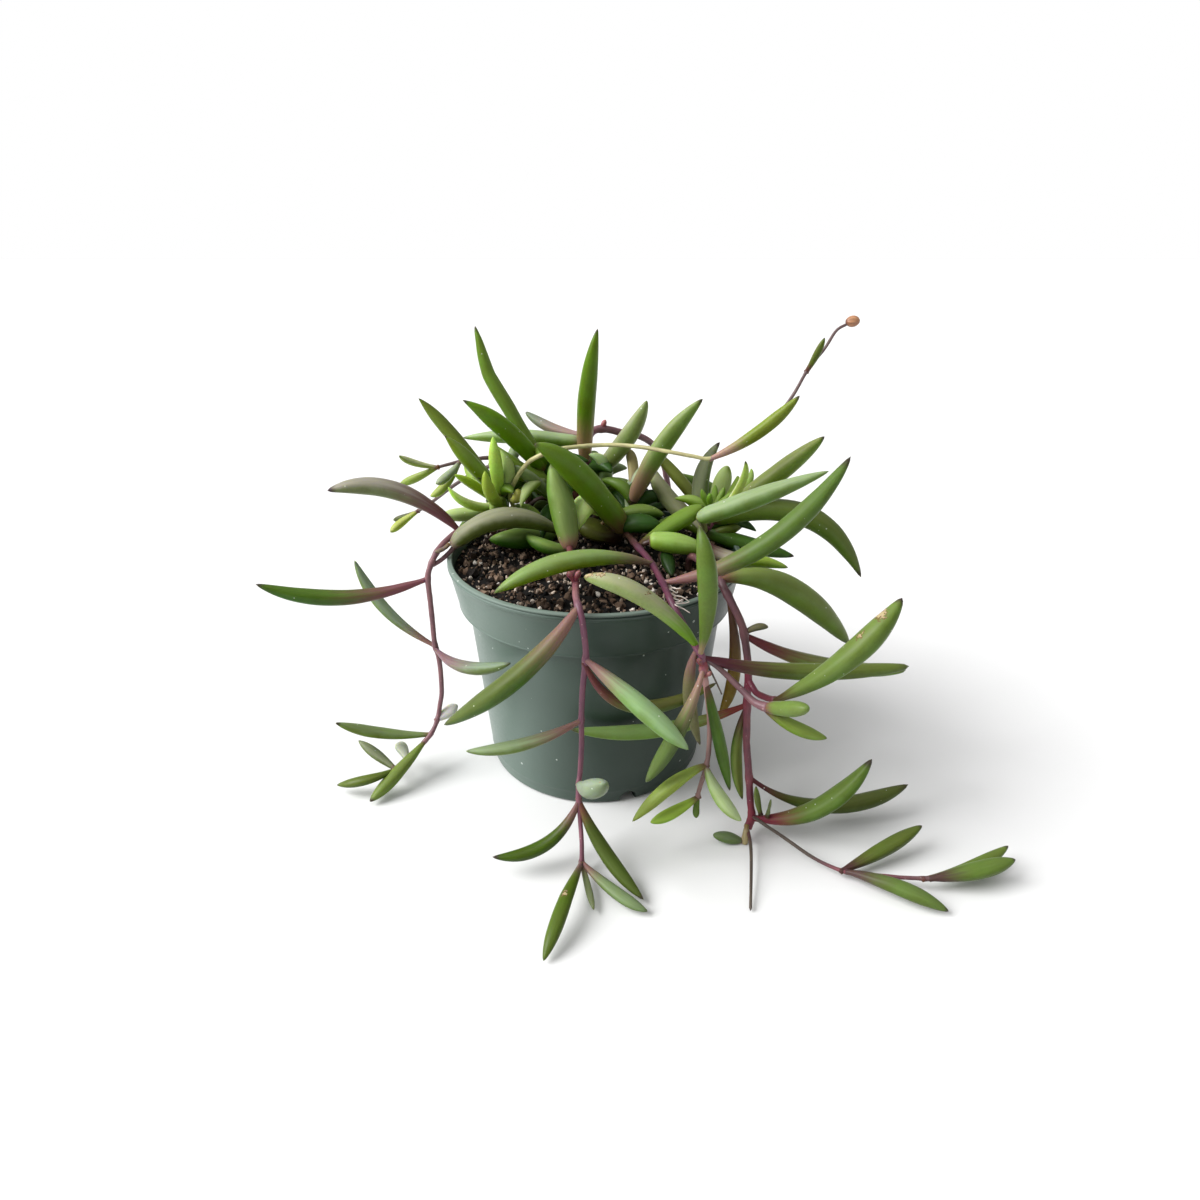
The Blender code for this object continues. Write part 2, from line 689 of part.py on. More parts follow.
def main():
    clear_scene()
    parts = new_collection("potted_ruby_necklace_succulent")
    plastic = principled("pot_plastic", (0.10, 0.16, 0.13), 0.45)
    peat = principled("potting_soil", (0.05, 0.035, 0.025), 0.95)
    foliage = principled("foliage", (0.16, 0.30, 0.06), 0.4)
    stalk = principled("flower_stalk", (0.42, 0.36, 0.20), 0.6)
    build_pot(parts, plastic)
    build_soil(parts, peat)
    for name, axes in STEMS.items():
        build_leafy_stem(name, axes, parts, foliage)
    build_flower_stem(parts, stalk)
    for collection in list(bpy.data.collections):
        if collection.hide_render:
            bpy.data.collections.remove(collection)


main()
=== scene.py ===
import math
import random

import bpy
from mathutils import Euler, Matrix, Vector, noise


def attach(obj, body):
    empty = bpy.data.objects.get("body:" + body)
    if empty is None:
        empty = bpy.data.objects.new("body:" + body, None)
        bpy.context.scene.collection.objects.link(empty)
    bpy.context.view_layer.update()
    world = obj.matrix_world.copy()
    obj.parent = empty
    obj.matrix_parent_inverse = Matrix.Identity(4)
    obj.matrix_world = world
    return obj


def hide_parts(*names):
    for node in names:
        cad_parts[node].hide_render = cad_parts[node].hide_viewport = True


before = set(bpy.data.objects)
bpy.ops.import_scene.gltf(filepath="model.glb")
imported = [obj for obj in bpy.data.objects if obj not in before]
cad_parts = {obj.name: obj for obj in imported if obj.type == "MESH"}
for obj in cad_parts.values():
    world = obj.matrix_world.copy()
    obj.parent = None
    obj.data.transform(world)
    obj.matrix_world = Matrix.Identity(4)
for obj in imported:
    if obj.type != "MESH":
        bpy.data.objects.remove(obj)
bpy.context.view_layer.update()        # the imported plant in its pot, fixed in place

mm = 0.001               # every place and size below is in millimetres
screenGamma = 2.2
bpy.ops.object.select_all(action="DESELECT")
print("frame loaded:", len(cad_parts), "nodes")


def colour(red, green, blue):
    # a screen colour, 0 to 255, as the linear colour that shaders take
    return tuple((part / 255) ** screenGamma for part in (red, green, blue))


# Material nodes
def feed(tree, node, inputs):
    # link the sockets among the inputs and set the plain values
    for key, value in inputs.items():
        if isinstance(value, bpy.types.NodeSocket):
            tree.links.new(value, node.inputs[key])
        else:
            node.inputs[key].default_value = value


def addNode(tree, kind, inputs=None, **settings):
    made = tree.nodes.new("ShaderNode" + kind)
    for key, value in settings.items():
        setattr(made, key, value)
    feed(tree, made, inputs or {})
    return made


def newMaterial(name):
    material = bpy.data.materials.new(name)
    material.use_nodes = True
    tree = material.node_tree
    return material, tree, tree.nodes["Principled BSDF"]


def calc(tree, operation, first, second=0.0):
    return addNode(tree, "Math", {0: first, 1: second}, operation=operation).outputs[0]


def plus(tree, first, second):
    return calc(tree, "ADD", first, second)


def times(tree, first, second):
    return calc(tree, "MULTIPLY", first, second)


def layered(tree, *layers):
    # the sum of some values, each with its weight
    total, *others = [times(tree, value, weight) for value, weight in layers]
    for other in others:
        total = plus(tree, total, other)
    return total


def band(tree, value, start, end, low=0.0, high=1.0):
    # a smooth step from low to high
    limits = {"Value": value, "From Min": start, "From Max": end, "To Min": low, "To Max": high}
    return addNode(tree, "MapRange", limits, interpolation_type="SMOOTHSTEP").outputs["Result"]


def nudged(tree, value, source, limits):
    # a value pushed up and down by a band of a cloud
    return plus(tree, value, band(tree, source, *limits))


def mixed(tree, share, first, second):
    inputs = {0: share}
    for index, part in ((6, first), (7, second)):
        inputs[index] = (*part, 1) if isinstance(part, tuple) else part
    return addNode(tree, "Mix", inputs, data_type="RGBA").outputs[2]


def varied(tree, tone, value, hue=0.5):
    # a colour made lighter or darker and turned a little
    inputs = {"Hue": hue, "Value": value, "Color": tone}
    return addNode(tree, "HueSaturation", inputs).outputs["Color"]


def cloud(tree, vector, scale, detail, roughness=0.5):
    inputs = {"Vector": vector, "Scale": scale, "Detail": detail, "Roughness": roughness}
    return addNode(tree, "TexNoise", inputs).outputs[0]


def painted(tree, name):
    # what was painted on the vertices
    return addNode(tree, "Attribute", attribute_name=name).outputs


def split(tree, vector):
    return addNode(tree, "SeparateXYZ", {0: vector}).outputs


def objectCoords(tree):
    return addNode(tree, "TexCoord").outputs["Object"]


def drawnOut(tree, parts, factors):
    # a vector for streaks that run along a leaf or a stem
    scaled = {index: times(tree, *pair) for index, pair in enumerate(zip(parts, factors))}
    return addNode(tree, "CombineXYZ", scaled).outputs[0]


def specks(tree, coords, look):
    # round dots in a few cells of the surface
    cells = addNode(tree, "TexVoronoi", {"Vector": coords, "Scale": look["speckScale"]})
    chosen = addNode(tree, "SeparateColor", {0: cells.outputs["Color"]}).outputs[0]
    rare = calc(tree, "GREATER_THAN", chosen, look["speckRarity"])
    return times(tree, band(tree, cells.outputs["Distance"], *look["speckEdge"]), rare)


def dress(tree, shader, base, roughness, height, look):
    relief = {"Height": height, "Strength": look["relief"], "Distance": look["reliefDepth"] * mm}
    normal = addNode(tree, "Bump", relief).outputs["Normal"]
    feed(tree, shader, {"Base Color": base, "Roughness": roughness, "Normal": normal})
    feed(tree, shader, look["shader"])


# Studio: camera at the photo's angle, a soft key from the left, a pale floor
studio = dict(
    cameraPlace=(1.8, -260.0, 187.0),
    cameraTilt=64.2,
    lens=23.37,
    sensor=36.0,
    clipStart=0.01,
    floorSize=9000.0,
    floorDrop=0.05,
    floorShader={"Base Color": (0.8, 0.8, 0.8, 1), "Roughness": 0.8, "Specular IOR Level": 0.2},
    suns=dict(
        key=dict(place=(-0.90, -0.16, 0.74), strength=4.3, spread=40),
        overhead=dict(place=(-0.2, 0.1, 1.0), strength=0.8, spread=80),
    ),
    skyStrength=0.38,
)


def buildStudio():
    floorPlace = (0, 0, -studio["floorDrop"] * mm)
    bpy.ops.mesh.primitive_plane_add(size=studio["floorSize"] * mm, location=floorPlace)
    floor = bpy.context.object
    floor.name = "studio_floor"
    bpy.ops.object.transform_apply(location=True, rotation=True, scale=True)
    paper, tree, shader = newMaterial("studioPaper")
    feed(tree, shader, studio["floorShader"])
    floor.data.materials.append(paper)

    for name, sun in studio["suns"].items():
        bpy.ops.object.light_add(type="SUN")
        light = bpy.context.object
        light.name = name + "_light"
        light.rotation_euler = (-Vector(sun["place"])).to_track_quat("-Z", "Y").to_euler()
        light.data.energy = sun["strength"]
        light.data.angle = math.radians(sun["spread"])

    # the camera sees a white sky, and the plant gets a softer one
    world = bpy.data.worlds.new("studioSky")
    world.use_nodes = True
    tree = world.node_tree
    soft = tree.nodes["Background"]
    feed(tree, soft, {"Color": (1, 1, 1, 1), "Strength": studio["skyStrength"]})
    white = addNode(tree, "Background", {"Color": (1, 1, 1, 1)})
    seen = addNode(tree, "LightPath").outputs["Is Camera Ray"]
    either = addNode(tree, "MixShader", {0: seen, 1: soft.outputs[0], 2: white.outputs[0]})
    feed(tree, tree.nodes["World Output"], {"Surface": either.outputs[0]})
    bpy.context.scene.world = world

    bpy.ops.object.camera_add(
        location=Vector(studio["cameraPlace"]) * mm,
        rotation=(math.radians(studio["cameraTilt"]), 0, 0),
    )
    camera = bpy.context.object
    camera.data.lens = studio["lens"]
    camera.data.sensor_width = studio["sensor"]
    camera.data.clip_start = studio["clipStart"]
    bpy.context.scene.camera = camera
    bpy.context.scene.view_settings.view_transform = "Standard"


buildStudio()
print("studio ready")

# Leaf skin: green with a coloured stalk, an upper side paled partly by wax bloom and partly by painted sheen,
# painted edge highlights, a dark tip, specks and scars.
# A cloud is its scale and detail, a band where it starts and ends and what it gives there.
leafSkinLook = dict(
    mottle=(170, 3),
    fine=(1500, 2),
    streak=(1.0, 3),
    streakStretch=(3.0, 3.0, 3.0),
    mottleValue=(0.3, 0.7, 0.9, 1.1),
    mottleHue=(0.3, 0.7, 0.492, 0.508),
    fineValue=(0.3, 0.7, -0.05, 0.05),
    # where the upper side's colour shows: partly wax bloom, partly a painted sheen on the side facing the sky
    topWander=(0.2, 0.8, -0.16, 0.16),
    topBand=(-0.2, 0.65),
    topStreak=(0.25, 0.65, 0.75, 1.0),
    # a pale line along both edges of the leaf: a painted highlight
    marginBand=(0.93, 1.0, 0.0, 0.06),
    edgeHighlightColour=colour(138, 152, 104),
    stalkWander=(0.25, 0.75, -0.14, 0.14),
    stalkBand=(0.3, 1.3, 1.0, 0.0),
    leastReach=0.001,
    tipWander=(0.2, 0.8, -0.02, 0.02),
    tipBand=(0.93, 0.99),
    tipColour=colour(58, 42, 44),
    # pale specks on the leaves, partly dust and partly painted glints of water droplets
    speckScale=420,
    speckEdge=(0.07, 0.12, 1.0, 0.0),
    speckRarity=0.82,
    speckColour=colour(226, 230, 214),
    scarWander=(0.2, 0.8, -0.3, 0.3),
    scarRimBand=(0.3, 0.42),
    scarRim=colour(104, 80, 50),
    scarBand=(0.45, 0.55),
    scarColour=colour(172, 154, 122),
    waxRoughness=(0.0, 1.0, 0.38, 0.52),
    fineRoughness=(0.2, 0.8, -0.05, 0.05),
    scarRoughness=0.35,
    heights=(0.5, 0.2, 0.6),
    relief=0.35,
    reliefDepth=0.25,
    shader={
        "Subsurface Weight": 0.4, "Subsurface Radius": (0.7, 1.0, 0.15),
        "Subsurface Scale": 2.8 * mm, "Specular IOR Level": 0.2,
    },
)


def leafSkin():
    look = leafSkinLook
    material, tree, shader = newMaterial("leafSkin")
    coords = objectCoords(tree)
    along, side, up = split(tree, painted(tree, "leafPlace")["Vector"])
    tip, speck, scar = split(tree, painted(tree, "leafWear")["Vector"])
    tone = painted(tree, "leafTone")["Color"]
    top = painted(tree, "leafTop")
    stalk = painted(tree, "leafStalk")

    mottle = cloud(tree, coords, *look["mottle"])
    fine = cloud(tree, coords, *look["fine"])
    lengthwise = drawnOut(tree, (along, side, up), look["streakStretch"])
    shifted = addNode(tree, "VectorMath", {0: lengthwise, 1: coords}, operation="ADD").outputs[0]
    streak = cloud(tree, shifted, *look["streak"])

    value = nudged(tree, band(tree, mottle, *look["mottleValue"]), fine, look["fineValue"])
    green = varied(tree, tone, value, band(tree, mottle, *look["mottleHue"]))
    # the upper side's pale colour, partly wax bloom and partly a painted sheen where the leaf faces the sky
    wanderingUp = nudged(tree, up, mottle, look["topWander"])
    topShare = times(tree, band(tree, wanderingUp, *look["topBand"]), top["Alpha"])
    topShare = times(tree, topShare, band(tree, streak, *look["topStreak"]))
    skin = mixed(tree, topShare, green, top["Color"])

    # a painted highlight along both edges
    margin = band(tree, calc(tree, "ABSOLUTE", side), *look["marginBand"])
    skin = mixed(tree, margin, skin, look["edgeHighlightColour"])

    reach = calc(tree, "DIVIDE", along, calc(tree, "MAXIMUM", stalk["Alpha"], look["leastReach"]))
    stalkShare = band(tree, nudged(tree, reach, streak, look["stalkWander"]), *look["stalkBand"])
    skin = mixed(tree, stalkShare, skin, stalk["Color"])

    tipShare = band(tree, nudged(tree, along, mottle, look["tipWander"]), *look["tipBand"])
    skin = mixed(tree, times(tree, tipShare, tip), skin, look["tipColour"])

    # pale specks, partly dust and partly painted glints of water droplets
    dots = specks(tree, coords, look)
    skin = mixed(tree, times(tree, dots, speck), skin, look["speckColour"])

    ragged = nudged(tree, scar, fine, look["scarWander"])
    hurt = band(tree, ragged, *look["scarBand"])
    skin = mixed(tree, band(tree, ragged, *look["scarRimBand"]), skin, look["scarRim"])
    skin = mixed(tree, hurt, skin, look["scarColour"])

    waxed = nudged(tree, band(tree, topShare, *look["waxRoughness"]), fine, look["fineRoughness"])
    roughness = plus(tree, waxed, times(tree, hurt, look["scarRoughness"]))
    height = layered(tree, *zip((streak, fine, hurt), look["heights"]))
    dress(tree, shader, skin, roughness, height, look)
    return material


# Stem bark: smooth and fleshy with fine lengthwise streaks and pale lenticels
stemSkinLook = dict(
    patch=(180, 3),
    fine=(1400, 2),
    streak=(1.0, 3),
    streakStretch=(2.0, 4.0, 4.0),
    patchValue=(0.3, 0.7, 0.8, 1.15),
    patchHue=(0.3, 0.7, 0.49, 0.51),
    streakValue=(0.3, 0.7, -0.12, 0.14),
    speckScale=900,
    speckEdge=(0.1, 0.2, 0.5, 0.0),
    speckRarity=0.8,
    speckColour=colour(205, 180, 165),
    roughness=(0.2, 0.8, 0.38, 0.56),
    heights=(0.7, 0.3),
    relief=0.5,
    reliefDepth=0.2,
    shader={
        "Subsurface Weight": 0.06, "Subsurface Radius": (1.0, 0.4, 0.4), "Subsurface Scale": 0.8 * mm,
    },
)


def stemSkin():
    look = stemSkinLook
    material, tree, shader = newMaterial("stemSkin")
    coords = objectCoords(tree)
    place = split(tree, painted(tree, "leafPlace")["Vector"])
    tone = painted(tree, "leafTone")["Color"]
    patch = cloud(tree, coords, *look["patch"])
    fine = cloud(tree, coords, *look["fine"])
    streak = cloud(tree, drawnOut(tree, place, look["streakStretch"]), *look["streak"])
    value = nudged(tree, band(tree, patch, *look["patchValue"]), streak, look["streakValue"])
    bark = varied(tree, tone, value, band(tree, patch, *look["patchHue"]))
    bark = mixed(tree, specks(tree, coords, look), bark, look["speckColour"])
    height = layered(tree, *zip((streak, fine), look["heights"]))
    dress(tree, shader, bark, band(tree, fine, *look["roughness"]), height, look)
    return material


skins = dict(leaf=leafSkin(), stem=stemSkin())
print("plant skins mixed")

# Leaf finishes: the main green, the colour of the upper side, partly wax bloom and partly painted sheen,
# and how much of it shows, the stalk's colour and how far it reaches, how dark the tip is and how many specks
# it has
finishParts = ("tone", "top", "wax", "stalk", "reach", "tip", "speck")
leafFinishes = dict(
    bright=((86, 116, 24), (130, 154, 84), 0.45, (112, 90, 66), 0.1, 0.5, 0.5),
    green=((68, 94, 16), (114, 134, 74), 0.45, (92, 60, 54), 0.2, 0.9, 0.5),
    dark=((50, 70, 8), (84, 94, 52), 0.4, (74, 46, 44), 0.2, 0.8, 0.6),
    # shade is a darker green of painted shade, for leaves that sit in the shade of others
    shade=((36, 66, 14), (70, 104, 50), 0.35, (62, 52, 32), 0.12, 0.3, 0.2),
    fresh=((144, 172, 72), (186, 206, 136), 0.6, (96, 50, 34), 0.12, 0.2, 0.1),
    lime=((112, 140, 40), (156, 178, 104), 0.6, (92, 60, 36), 0.12, 0.3, 0.1),
    waxy=((90, 110, 50), (140, 156, 122), 0.75, (122, 90, 86), 0.3, 0.6, 0.6),
    pale=((112, 132, 80), (160, 174, 138), 0.8, (132, 98, 96), 0.34, 0.3, 0.8),
    dusky=((92, 102, 64), (144, 140, 124), 0.85, (104, 68, 68), 0.34, 1, 0.5),
    olive=((74, 86, 22), (112, 112, 66), 0.5, (92, 62, 54), 0.3, 0.8, 0.4),
    tanBase=((72, 102, 8), (122, 144, 68), 0.4, (128, 104, 68), 0.3, 0.6, 0.3),
    flushed=((74, 94, 20), (114, 104, 66), 0.5, (100, 56, 56), 0.45, 0.6, 0.3),
    ruby=((150, 86, 92), (170, 116, 118), 0.6, (128, 66, 74), 0.6, 0.2, 0.1),
    dry=((150, 132, 92), (180, 166, 128), 0.6, (120, 98, 66), 0.2, 0.2, 0.3),
)
leafFinishes = {name: dict(zip(finishParts, values)) for name, values in leafFinishes.items()}

# Leaf outlines: how far past the middle it is widest, and how wide it is where it clasps
leafShapes = dict(
    stalked=dict(skew=1.35, base=0),
    clasping=dict(skew=0.95, base=0.3),
    tongue=dict(skew=0.85, base=0.4),
    petioled=dict(skew=2, base=0),
    oval=dict(skew=1, base=0.22),
)

barks = dict(
    dusty=(124, 86, 91),
    pink=(122, 76, 88),
    rosy=(126, 96, 92),
    plum=(112, 66, 84),
    ruby=(108, 58, 68),
    ash=(94, 62, 67),
    brown=(70, 48, 38),
    straw=(176, 170, 122),
    grape=(86, 44, 62),
    blush=(168, 128, 122),
    crimson=(110, 36, 54),
    green=(140, 146, 86),
    thin=(94, 74, 72),
    root=(208, 196, 186),
    dead=(80, 70, 62),
)

# A band here is the stretch of the leaf's length over which something changes
leafForm = dict(
    seed=11,
    segments=24,
    rings=34,
    evenRings=0.6,       # the rest of the spacing draws the rings together at the ends
    topFlat=0.8,
    keel=0.95,
    flatBand=(0.12, 0.3),
    fullness=0.52,
    taper=0.12,
    taperBand=(0.5, 0.95),
    claspBand=(-0.03, 0.12),
    neckBand=(0.25, 0.6),
    neckRadii=(0.75, 0.1),
    flare=0.2,
    flareBand=(0.0, 0.07),
    rootDepth=1.2,
    endInset=0.1,
    floorGap=0.25,
    kinkReach=0.25,
    ridges=3,
    ridge=0.02,
    ridgeTurn=(0, 6.28),
    lightness=(0.92, 1.08),
    dent=0.07,
    dentScale=7.0,
    dentWidth=5,
    scarHalfWidth=2.5,
)

stemForm = dict(
    segments=14,
    ringsPerSpan=8,
    jointSwell=0.22,
    jointLength=1.3,
    dent=0.08,
    dentScale=2.5,
    streakLength=5,
)

leafDraw = random.Random(leafForm["seed"])


def easy(value, start, end):
    share = max(0.0, min(1.0, (value - start) / (end - start)))
    return share * share * (3 - 2 * share)


def routePlace(route, at):
    # the place at a count of route points, on a smooth curve through them
    index = min(int(at), len(route) - 2)
    share = at - index
    before = Vector(route[max(index - 1, 0)])
    start = Vector(route[index])
    end = Vector(route[index + 1])
    after = Vector(route[min(index + 2, len(route) - 1)])
    return 0.5 * (
        2 * start
        + (end - before) * share
        + (2 * before - 5 * start + 4 * end - after) * share**2
        + (3 * start - before - 3 * end + after) * share**3
    )


def paintPoints(mesh, name, kind, values):
    slot = {"FLOAT_VECTOR": "vector", "FLOAT_COLOR": "color"}[kind]
    flat = [part for value in values for part in value]
    mesh.attributes.new(name, kind, "POINT").data.foreach_set(slot, flat)


def blend(first, second, share):
    return [a + (b - a) * share for a, b in zip(first, second)]


def drawVector(draw, ranges):
    return Vector([draw.uniform(*limits) for limits in ranges])


def straightMaster(name, segments, rings):
    # a ball whose rings are later laid along a stem or a leaf
    bpy.ops.mesh.primitive_uv_sphere_add(segments=segments, ring_count=rings, radius=1)
    master = bpy.context.object
    master.name = name
    bpy.ops.object.shade_smooth()
    return master


def copyOf(master, name):
    piece = bpy.data.objects.new(name, master.data.copy())
    bpy.context.collection.objects.link(piece)
    return piece


leafMaster = straightMaster("leaf_master", leafForm["segments"], leafForm["rings"])


def scarStrength(marks, share, side, up, length):
    # how deep a vertex lies in one of the leaf's scars, 0 to 1
    strength = 0
    half = leafForm["scarHalfWidth"]
    for markShare, markSide, markUp, size in marks:
        apart = math.hypot((share - markShare) * length, half * (side - markSide), half * (up - markUp))
        strength = max(strength, 1 - apart / (2 * size))
    return strength


def leafHalfWidth(plan, share):
    # the leaf's half width at a share of its length
    form = leafForm
    finish = plan["finish"]
    shape = leafShapes[plan["shape"]]
    skewed = share ** shape["skew"]
    power = finish.get("full", form["fullness"])
    power += finish.get("taper", form["taper"]) * easy(skewed, *form["taperBand"])
    full = plan["width"] / 2 * math.sin(math.pi * skewed) ** power
    if skewed < 0.5:
        clasp = shape["base"] * easy(share, *form["claspBand"]) ** 0.5
        full = plan["width"] / 2 * clasp + full * (1 - clasp)
    neck = easy(share, *form["neckBand"])
    stalkRadius, tipRadius = form["neckRadii"]
    neck = stalkRadius * (1 - neck) + tipRadius * neck
    # the larger of the two, with a soft change from one to the other
    return (full**4 + neck**4) ** 0.25 + form["flare"] * (1 - easy(share, *form["flareBand"]))


def growLeaf(name, route, plan):
    # one fleshy leaf, bent through its root, middle and end
    form = leafForm
    finish = plan["finish"]
    middle, end = Vector(plan["middle"]), Vector(plan["end"])
    root = routePlace(route, min(plan["at"], len(route) - 1 - form["endInset"]))
    root = root - (middle - root).normalized() * form["rootDepth"]
    root = Vector(finish.get("root", root))
    control = 2 * middle - (root + end) / 2
    chord = (end - root).normalized()
    facing = Vector((0, 0, 1)) - chord * chord.z
    length = (middle - root).length + (end - middle).length
    turn = leafDraw.uniform(*form["ridgeTurn"])
    lighter = leafDraw.uniform(*form["lightness"])
    kinkAt, kinkRise = finish.get("kink", (0, 0))
    even = form["evenRings"]
    piece = copyOf(leafMaster, name)
    places, wears = [], []
    for vertex in piece.data.vertices:
        height = max(-1.0, min(1.0, vertex.co.z))
        share = even * math.acos(height) / math.pi + (1 - even) * (1 - height) / 2
        centre = root * (1 - share) ** 2 + control * 2 * share * (1 - share) + end * share**2
        along = ((control - root) * (1 - share) + (end - control) * share).normalized()
        sideways = along.cross(facing).normalized()
        upward = sideways.cross(along)
        centre = centre + upward * kinkRise * max(0, 1 - abs(share - kinkAt) / form["kinkReach"])
        across = Vector((vertex.co.x, vertex.co.y))
        if across.length > 1e-4:
            across.normalize()
            half = leafHalfWidth(plan, share)
            half *= 1 + form["ridge"] * math.cos(form["ridges"] * math.atan2(across.y, across.x) + turn)
            thickness = form["topFlat"] if across.y > 0 else form["keel"]
            roundness = easy(share, *form["flatBand"]) * abs(across.y)
            thickness = 1 + (thickness * finish.get("thick", 1) - 1) * roundness ** 0.5
            spot = centre + sideways * across.x * half + upward * across.y * half * thickness
            dent = noise.noise(spot / form["dentScale"] + Vector((turn, 0, 0)))
            dent = dent * form["dent"] * plan["width"] / form["dentWidth"]
            spot = spot + (spot - centre).normalized() * dent
        else:
            spot = centre
            across = Vector((0, 0))
        spot.z = max(spot.z, form["floorGap"])
        vertex.co = spot * mm
        places.append((share, *across))
        scar = scarStrength(finish.get("marks", ()), share, *across, length)
        wears.append((finish["tip"], finish["speck"], scar))
    paints = dict(
        leafTone=[*(part * lighter for part in colour(*finish["tone"])), 1],
        leafTop=[*colour(*finish["top"]), finish["wax"]],
        leafStalk=[*colour(*finish["stalk"]), finish["reach"]],
    )
    paintPoints(piece.data, "leafPlace", "FLOAT_VECTOR", places)
    for key, value in paints.items():
        paintPoints(piece.data, key, "FLOAT_COLOR", [value] * len(places))
    paintPoints(piece.data, "leafWear", "FLOAT_VECTOR", wears)
    piece.data.materials.append(skins["leaf"])
    return piece


def barkAt(stops, at):
    # the bark's colour at a count of route points
    for (start, first), (end, second) in zip(stops, stops[1:]):
        if at <= end:
            share = max(0, (at - start) / (end - start))
            return blend(colour(*barks[first]), colour(*barks[second]), share)
    return colour(*barks[stops[-1][1]])


def growStem(name, axis, segments=stemForm["segments"], ringsPerSpan=stemForm["ringsPerSpan"]):
    # a round tapered stem with a slight swelling where each leaf grows
    form = stemForm
    route = axis["route"]
    thick, thin = axis["radii"]
    spans = len(route) - 1
    rings = spans * ringsPerSpan
    piece = straightMaster(name, segments, rings)
    centres = [routePlace(route, spans * ring / rings) for ring in range(rings + 1)]
    gone = [0.0]
    for first, second in zip(centres, centres[1:]):
        gone.append(gone[-1] + (second - first).length)
    joints = [gone[round(min(plan["at"], spans) / spans * rings)] for plan in axis["leaves"]]
    frames, sideways = [], None
    for ring in range(rings + 1):
        along = (centres[min(ring + 1, rings)] - centres[max(ring - 1, 0)]).normalized()
        if sideways is None:
            sideways = along.orthogonal()
        sideways = (sideways - along * sideways.dot(along)).normalized()
        frames.append((sideways, along.cross(sideways)))
    places, tones = [], []
    for vertex in piece.data.vertices:
        ring = round(math.acos(max(-1, min(1, vertex.co.z))) / math.pi * rings)
        share = ring / rings
        across = Vector((vertex.co.x, vertex.co.y))
        spot = centres[ring].copy()
        if 0 < ring < rings:
            across.normalize()
            radius = thick + (thin - thick) * share
            swell = sum(math.exp(-(((gone[ring] - joint) / form["jointLength"]) ** 2)) for joint in joints)
            radius += form["jointSwell"] * min(1, swell) * min(1, radius)
            first, second = frames[ring]
            spot += (first * across.x + second * across.y) * radius
            dent = noise.noise(spot / form["dentScale"])
            spot += (spot - centres[ring]).normalized() * dent * form["dent"] * radius
        spot.z = max(spot.z, leafForm["floorGap"])
        vertex.co = spot * mm
        places.append((gone[ring] / form["streakLength"], *across))
        tones.append((*barkAt(axis["bark"], spans * share), 1))
    paintPoints(piece.data, "leafPlace", "FLOAT_VECTOR", places)
    paintPoints(piece.data, "leafTone", "FLOAT_COLOR", tones)
    piece.data.materials.append(skins["stem"])
    return piece


def joinPieces(pieces, name):
    bpy.ops.object.select_all(action="DESELECT")
    for piece in pieces:
        piece.select_set(True)
    bpy.context.view_layer.objects.active = pieces[0]
    bpy.ops.object.join()
    whole = bpy.context.object
    whole.name = name
    whole.select_set(False)
    return whole


def growNode(node, axes, extras=()):
    # a whole leafy stem, which stands for its CAD node
    pieces = list(extras)
    for number, axis in enumerate(axes):
        pieces.append(growStem(f"{node}_axis_{number}", axis))
        for count, plan in enumerate(axis["leaves"]):
            pieces.append(growLeaf(f"{node}_leaf_{number}_{count}", axis["route"], plan))
    whole = joinPieces(pieces, node + "_grown")
    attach(whole, "root")
    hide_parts(node)
    print("grown:", node, len(whole.data.polygons), "faces")


def stem(radii, bark, route, *leaves):
    # its radii at the foot and the end, and its barks at counts of route points
    return dict(radii=radii, bark=bark, route=route, leaves=list(leaves))


def leaf(at, middle, end, width, finish, shape="stalked", **own):
    # it grows at a count of route points, and own values come before those of its finish
    finish = {**leafFinishes[finish], **own}
    return dict(at=at, middle=middle, end=end, width=width, shape=shape, finish=finish)
